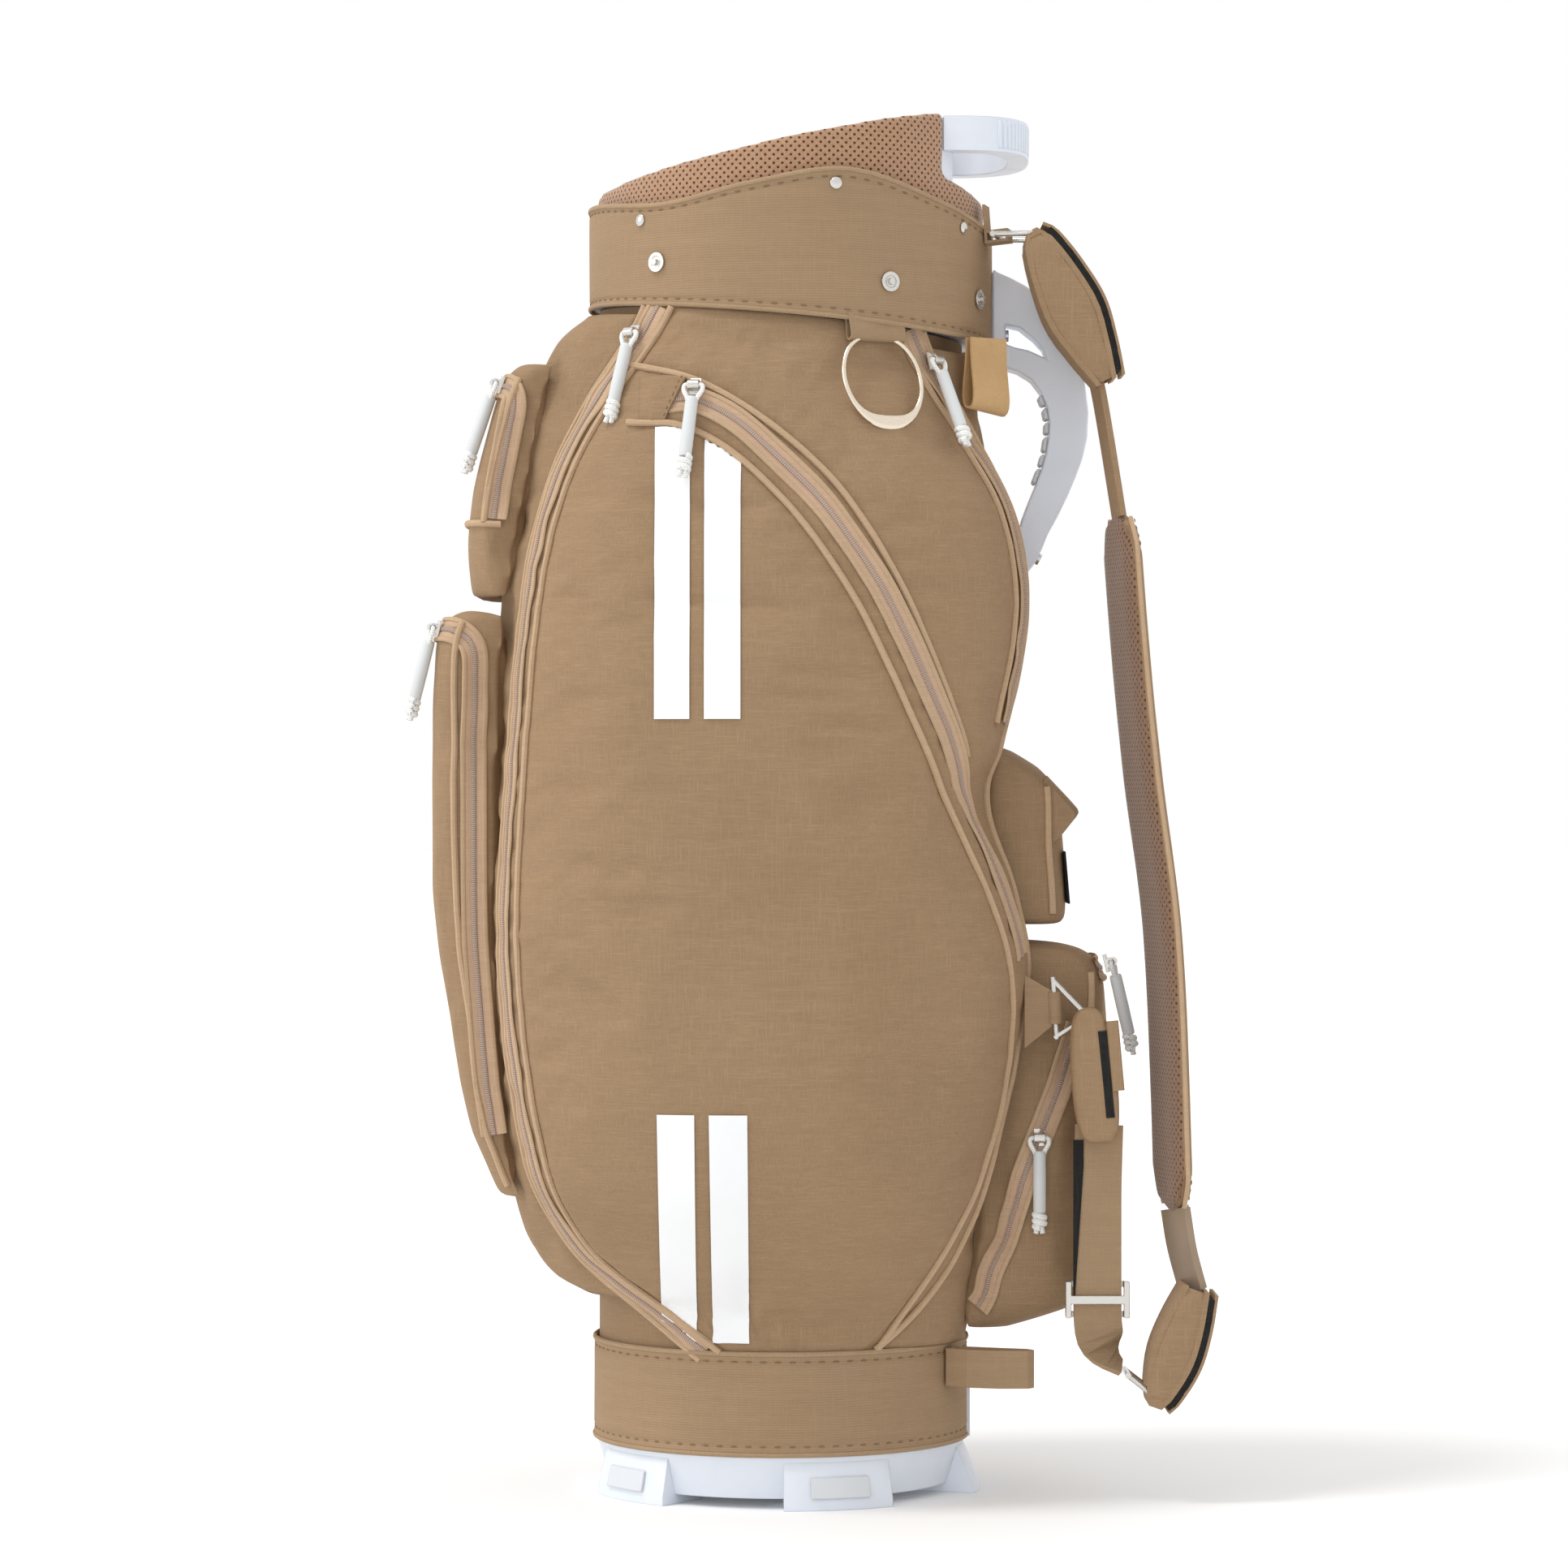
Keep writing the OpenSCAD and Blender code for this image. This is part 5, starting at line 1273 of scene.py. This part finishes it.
# A line of piping crosses the front upper pouch below its zip and ends on the near face.
t_cross = .782
x_out, x_in = (front_base(t_cross) + upper_out(t_cross) * share for share in (1, .3))
crossing = [shelf(-1, x_out, y, t_cross) for y in (48, 24, 0, -24, -44)]
crossing += [shelf(-1, x_out - 2, -54, t_cross), shelf(-1, (x_out + x_in) / 2, -57, t_cross), shelf(-1, x_in, -57, t_cross)]
ribbon(laid(resampled(crossing), upper_cloth), PIPE, False, pouch_pipe)

# The back lower pouch has its zip across the top, and a slanting one on its near face.
top_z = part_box("slider_9")[0].z / MM
back_x = (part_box("back_lower_pocket")[1].x) / MM
t_back = .382
zip_mid = (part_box("slider_9")[0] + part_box("slider_9")[1]) / 2 / MM
add_zip(laid(resampled([Vector((zip_mid.x - 3, y, zip_mid.z - 2)) for y in (44, 20, 0, -20, -44)]), back_cloth))
slide = joints["slider_10_slide"]
way = Vector(slide["axis"]).normalized()
start = Vector(joints["pull_10_hinge"]["pos_m"]) / MM
add_zip(laid(resampled([start + way * s for s in (-75, -20, 40, 110)]), back_cloth))
for y_side in (-1, 1):
    edge = [Vector((back_x - 7, y_side * 50, z)) for z in range(int(top_z) + 2, 108, -8)]
    ribbon(laid(resampled(edge), back_cloth), PIPE, False, pouch_pipe)
    b_low, b_high = pouch_box("back_upper_pocket")
    edge = [Vector((b_high.x - 8, y_side * 50, z)) for z in range(int(b_high.z) - 24, int(b_low.z) + 4, -8)]
    ribbon(laid(resampled(edge), back_up_cloth), PIPE, False, pouch_pipe)
piece("pouch_zip_tape", pouch_tape, zip_cloth, stands_for=["pocket_zips"])
piece("pouch_zip_teeth", pouch_teeth, coil_teeth)
piece("pouch_zip_lips", pouch_lips, piping_cloth)
piece("pouch_piping", pouch_pipe, piping_cloth)


def flap_shape(u, v):
    """The flap of the back upper pocket: a thin wedge from its near to its far end."""
    rows = [[0, 163], [.3, 181], [.35, 182], [.4, 180], [.65, 167], [.7, 163], [1, 163]], \
        [[0, 437], [.3, 417.5], [.35, 414.5], [.4, 411.5], [.65, 397], [.7, 400], [1, 437]]
    y = -43 + 86 * v
    end = (2 * v - 1)**8
    return Vector((curve(rows[0], u) - 3 * end, y, curve(rows[1], u) - 2 * end))


flap_bm = grid(flap_shape, 26, 22, closed=True)
bmesh.ops.holes_fill(flap_bm, edges=[e for e in flap_bm.edges if e.is_boundary])
bmesh.ops.recalc_face_normals(flap_bm, faces=flap_bm.faces)
piece("back_upper_flap", flap_bm, canvas, sharp=35)

# %% [markdown]
# ## The shoulder strap
# The strap is a long pad with a canvas outside and a perforated mesh inside, piped along both
# edges. Its narrow leather ends go into two folded wraps, and flat webbing runs down from the
# middle wrap through the adjuster.

# %% The shoulder pad
PAD_X = [[173, 237.5], [341, 231], [440, 219], [520, 211.5], [598, 206]]
PAD_Y = [[173, -66], [341, -58], [598, -44]]
pad_low, pad_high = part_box("shoulder_pad")
pad_wide, pad_thick = (pad_high.y - pad_low.y) / MM / 2 - 13, 6.2
wide_dir = Vector((0.24, -0.97, 0)).normalized()


def strap_spot(z):
    return Vector((curve(PAD_X, z), curve(PAD_Y, z), z))


def pad_frame(z):
    along = (strap_spot(z + 2) - strap_spot(z - 2)).normalized()
    out = wide_dir.cross(along).normalized()
    out = out if out.x > 0 else -out
    return strap_spot(z), along, out


def pad_shape(u, v):
    z = 174.5 + (596.5 - 174.5) * v
    p, along, out = pad_frame(z)
    end = min(v, 1 - v) * 422
    taper = min(1, (0.55 + 0.45 * min(end / 26, 1)) * min(1, math.sqrt(max(end, 0.4) / 9)))
    a = u * 2 * math.pi
    c, s = math.cos(a), math.sin(a)
    w = pad_wide * taper * math.copysign(abs(c)**0.55, c)
    puff = 1 + 0.05 * noise.noise(Vector((z * .02, c, s)))
    t = pad_thick * min(1, 0.35 + end / 14) * math.copysign(abs(s)**0.8, s) * puff
    t -= 0.5 * math.exp(-((abs(w) - pad_wide * 0.80) / 1.2)**2) * math.copysign(1, s)
    return p + wide_dir * w + out * t


pad_bm = grid(pad_shape, 48, 150, closed=True)
bmesh.ops.holes_fill(pad_bm, edges=[e for e in pad_bm.edges if e.is_boundary])
bmesh.ops.recalc_face_normals(pad_bm, faces=pad_bm.faces)
# Faces turned towards the bag get the darker copy of the perforated mesh, whose darkness is painted shade.
for f in pad_bm.faces:
    f.material_index = 1 if f.normal.x < -0.25 else 0
pad = piece("shoulder_pad_cushion", pad_bm, [canvas, pad_mesh_painted_shade], "strap", ["shoulder_pad"], sharp=180)
pad_pipe, pad_sewing = bmesh.new(), bmesh.new()
for s in (-1, 1):
    line = []
    for k in range(141):
        z = 178 + (593 - 178) * k / 140
        p, along, out = pad_frame(z)
        line.append((p + wide_dir * s * (pad_wide * min(1, 0.6 + min(z - 174, 597 - z) / 50) + 0.3), wide_dir * s))
    ribbon(line, ring_section(1.5, 0.2), False, pad_pipe)
    stitched = [(p - wide_dir * s * 6.2 + pad_frame(p.z)[2] * 4.2, pad_frame(p.z)[2]) for p, _ in line]
    stitches(stitched, 3.2, 2.4, 0.4, 0.1, pad_sewing)
piece("shoulder_pad_piping", pad_pipe, piping_cloth, "strap")
piece("shoulder_pad_stitches", pad_sewing, thread, "strap")

# %% Strap ends and adjuster webbing


def flat_strap(name, spots, wides, half, thick, finish, body, stands_for=(), bm=None):
    line = []
    for k, p in enumerate(spots):
        along = (spots[min(k + 1, len(spots) - 1)] - spots[max(k - 1, 0)]).normalized()
        line.append((p, wides[k].cross(along).normalized()))
    bm = ribbon(line, [(-half, thick / 2), (half, thick / 2), (half, -thick / 2), (-half, -thick / 2), (-half, thick / 2)],
                False, bm)
    return bm if name is None else piece(name, bm, finish, body, stands_for, sharp=40)


across_y = Vector((0, 1, 0))
top_end = resampled([Vector(p) for p in ((188.0, -42, 694), (193.6, -42, 669), (198.5, -42.5, 640), (205.7, -43.8, 594))], 4)
flat_strap("strap_end_upper", top_end, [Vector((-.12, 1, 0))] * len(top_end), 15, 3.6, canvas, "strap", ["strap_ends"])
tan_leather = hide("tan_leather", (.33, .245, .17), (.25, .18, .12))
low_end = resampled([Vector(p) for p in ((238.1, -67, 176), (241.5, -69, 152), (248.4, -71, 127))], 4)
flat_strap("strap_end_leather", low_end, [Vector((-.35, 1, 0)).normalized()] * len(low_end), 18, 4.2, tan_leather,
           "strap")
web_low, web_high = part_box("adjuster_webbing")
web_x, web_y = 190.5, -76.0
web_run = [Vector(p) for p in ((191.6, web_y, 227), (web_x, web_y, 190), (web_x, web_y, 150), (web_x, web_y, 104),
                               (192.6, web_y, 93), (197.5, web_y, 85.5), (204.6, -75.6, 81.0))]
web_run = resampled(web_run, 4)
turns = [Vector((1, 0, 0)).lerp(Vector((.25, 1, 0)), max(0, min(1, (104 - p.z) / 24))).normalized() for p in web_run]
flat_strap("adjuster_web", web_run, turns, 14.4, 2.8, webbing_cloth, "strap", ["adjuster_webbing"])
tape_run = [(Vector((web_x, web_y, 218 - 96 * k / 30)), Vector((0, -1, 0))) for k in range(31)]
tape_bm = ribbon(tape_run, [(14.6, 1.2), (14.6, 2.3), (8.4, 2.3), (8.4, 1.2), (14.6, 1.2)])
for v in tape_bm.verts:
    # The strip narrows to nothing at its lower end.
    share = min(max((v.co.z / MM - 122) / 80, 0), 1)
    v.co.x = (web_x - 14.6) * MM + abs(v.co.x - (web_x - 14.6) * MM) * (0.15 + 0.85 * share)
piece("webbing_hook_tape", tape_bm, hook_cloth, "strap")

# %% [markdown]
# ## Folded wraps
# Each end of the strap is a canvas wrap folded round a steel ring and closed with hook tape. The
# frame has it as an open fold; a puffy cheek closes each side, with a bound edge and a dark line
# of hook tape.

# %% Folded wraps


def pod_half(table, s):
    return curve(table, s)


def cheek(a, b, table, y, face, less=0.4, bulge=2.2):
    """A puffy side of a wrap between a and b, (x, z) points; face is -1 near, 1 far."""
    a, b = Vector((a[0], 0, a[1])), Vector((b[0], 0, b[1]))
    d = b - a
    side = Vector((-d.z, 0, d.x)).normalized()

    def place(u, v):
        s = 0.012 + 0.976 * v
        half = max(pod_half(table, s) - less, 0.3)
        w = (2 * u - 1) * half
        puff = bulge * (1 - abs(2 * u - 1)**3) * min(1, 12 * v * (1 - v))
        puff += 0.4 * noise.noise(Vector((w * .1, y * .1, v * 6)))
        return a + d * s + side * w + Vector((0, y + face * puff, 0))
    return face_out(grid(place, 16, 36), Vector(((a + b) / 2 * MM).to_tuple()) - Vector((0, face, 0)))


wrap_tables = {
    "upper_wrap": ((152, 767), (197, 675), [[0, 3], [.03, 6.2], [.1, 9.5], [.3, 14], [.55, 16.5], [.8, 12], [1, 6.6]], -42, 21),
    "lower_wrap": ((249, 130), (224, 59), [[0, 8], [.3, 12], [.6, 13], [.9, 8], [1, 4]], -73, 22)}
for node, (a, b, table, mid, half) in wrap_tables.items():
    moulded(node, canvas, "strap", edge=1.4, segments=3)
    cheeks = cheek(a, b, table, mid - half + 1.5, -1)
    join_into(cheeks, cheek(a, b, table, mid + half - 1.5, 1))
    piece(node + "_cheeks", cheeks, canvas, "strap", sharp=180)
stuffed("middle_wrap", "middle_wrap_fold", canvas, "strap", square=2.2, rounds=4, shrink=0.3, press=1.5, cap=1.0,
        fold=0.6)

hook, flaps = bmesh.new(), bmesh.new()
for a, b, table, mid, half in (wrap_tables["upper_wrap"], wrap_tables["lower_wrap"]):
    a, b = Vector((a[0], 0, a[1])), Vector((b[0], 0, b[1]))
    d = b - a
    side = Vector((-d.z, 0, d.x)).normalized()

    def edge_line(reach, low, high, y=0.0):
        return [(a + d * s + side * (curve(table, s) + reach) + Vector((0, mid + y, 0)), side)
                for s in [low + (high - low) * k / 24 for k in range(25)]]
    dark = [(-half + .2, .2), (-half + .2, 4.4), (half - .2, 4.4), (half - .2, .2), (-half + .2, .2)]
    ribbon(edge_line(-0.6, 0.05, 0.96), dark, False, hook)
    leaf = [(-half + .2, 0), (-half + .2, 1.9), (half - .2, 1.9), (half - .2, 0), (-half + .2, 0)]
    ribbon(edge_line(3.7, 0.0, 1.0), leaf, False, flaps)
m_low, m_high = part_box("middle_wrap")
mid_x = (m_low.x + m_high.x) / 2 / MM
line = [(Vector((mid_x + 4 + 5 * k / 12, m_low.y / MM + 0.6, m_high.z / MM - 14 - 52 * k / 12)), Vector((0, -1, 0)))
        for k in range(13)]
ribbon(line, [(-2.8, -.6), (-2.5, 1.3), (2.5, 1.3), (2.8, -.6)], False, hook)
leaf_line = [(p + Vector((6.2, 0.4, 6 - 0.3 * k)), out) for k, (p, out) in enumerate(line)][:10]
ribbon(leaf_line, [(-3.6, -1.5), (-3.4, 1.8), (-2.8, 2.4), (3.2, 2.2), (4.0, 1.0), (4.2, -1.5), (-3.6, -1.5)], False, flaps)
piece("wrap_flaps", flaps, canvas, "strap", sharp=40)
piece("wrap_hook_tape", hook, hook_cloth, "strap")

# %% [markdown]
# ## Zip pulls
# A pull is a loop of braided cord through the slider, a rubber sleeve over its two legs, and a
# knot with two loose ends. It is built in the hinge's own directions, so it hangs from the pin.

# %% Zip pulls
SLEEVE_L, SLEEVE_R, LOOP_L = 36, 3.9, 10


def pull(i):
    pivot, axis, hang, out = joint_frame(f"pull_{i}_hinge", f"pull_{i}")
    if i in (3, 6):
        # These two hang a little further out, to clear the swelling cloth below them.
        lean = math.radians(8)
        hang, out = hang * math.cos(lean) + out * math.sin(lean), out * math.cos(lean) - hang * math.sin(lean)

    def at(h, a, o=0.0):
        return pivot + hang * h + axis * a + out * o
    cord = bmesh.new()
    loop_pts = [(12, -1.6), (8, -3.2), (3.5, -5.6), (0.6, -5.4), (0, -2.5), (0, 2.5), (0.6, 5.4), (3.5, 5.6), (8, 3.2), (12, 1.6)]
    fine = [[k, h] for k, (h, _) in enumerate(loop_pts)], [[k, a] for k, (_, a) in enumerate(loop_pts)]
    steps = [k / 4 for k in range(4 * (len(loop_pts) - 1) + 1)]
    swept_rod([(at(curve(fine[0], k), curve(fine[1], k)), out) for k in steps], lambda s: (1.45, 1.45), 8, cord)
    end = LOOP_L + SLEEVE_L
    turns = [(at(end - 1 + 9.5 * k / 40, 2.9 * math.cos(k * 0.42 + i), 2.6 * math.sin(k * 0.42 + i)), out) for k in range(41)]
    swept_rod(turns, lambda s: (2.0, 2.0), 8, cord)
    for s, lean in ((-1, 1.6), (1, 2.6)):
        tail = [(at(end + 6.5 + k * 1.35, s * (1.1 + 0.12 * lean * k), 0.4 * s), out) for k in range(5)]
        swept_rod(tail, lambda t: (1.35 + 0.25 * t, 1.35 + 0.25 * t), 8, cord)
    piece(f"pull_{i}_cord", cord, pull_cord, f"pull_{i}", [f"pull_{i}"], sharp=180, quiet=True)
    sleeve = bmesh.new()
    profile = [(LOOP_L - 2, 2.2), (LOOP_L - 2, 3.1), (LOOP_L - 1.4, 3.6), (LOOP_L, 3.8), (LOOP_L + SLEEVE_L * .5, SLEEVE_R),
               (end - 2, 3.8), (end - .8, 3.5), (end - .4, 2.4)]
    ring = [sleeve.verts.new(Vector((r, 0, h)) * MM) for h, r in profile]
    for a, b in zip(ring, ring[1:]):
        sleeve.edges.new((a, b))
    bmesh.ops.spin(sleeve, geom=sleeve.verts[:] + sleeve.edges[:], axis=(0, 0, 1), cent=(0, 0, 0), steps=16,
                   angle=2 * math.pi, use_merge=True)
    bmesh.ops.remove_doubles(sleeve, verts=sleeve.verts, dist=1e-6)
    bmesh.ops.holes_fill(sleeve, edges=[e for e in sleeve.edges if e.is_boundary])
    turn = Matrix((axis, out, hang)).transposed().to_4x4()
    bmesh.ops.transform(sleeve, matrix=Matrix.Translation(pivot * MM) @ turn, verts=sleeve.verts)
    bmesh.ops.recalc_face_normals(sleeve, faces=sleeve.faces)
    piece(f"pull_{i}_sleeve", sleeve, sleeve_rubber, f"pull_{i}", quiet=True)


for i in range(1, 11):
    pull(i)
print("ten pulls")

# %% [markdown]
# ## Finishes for the parts kept from the frame
# Parts whose plain shape is already right only get their finish.

# %% Finishes for the parts kept from the frame
kept = {"liner_tube": dark_plastic, "body_cover": canvas, "divider_sheets": lining_cloth,
        "divider_grid": collar_back}
for name, made in cad_nodes.items():
    if made.get("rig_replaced") or name not in kept:
        continue
    made.data.materials.clear()
    made.data.materials.append(kept[name])
print("kept from the frame:", ", ".join(kept))
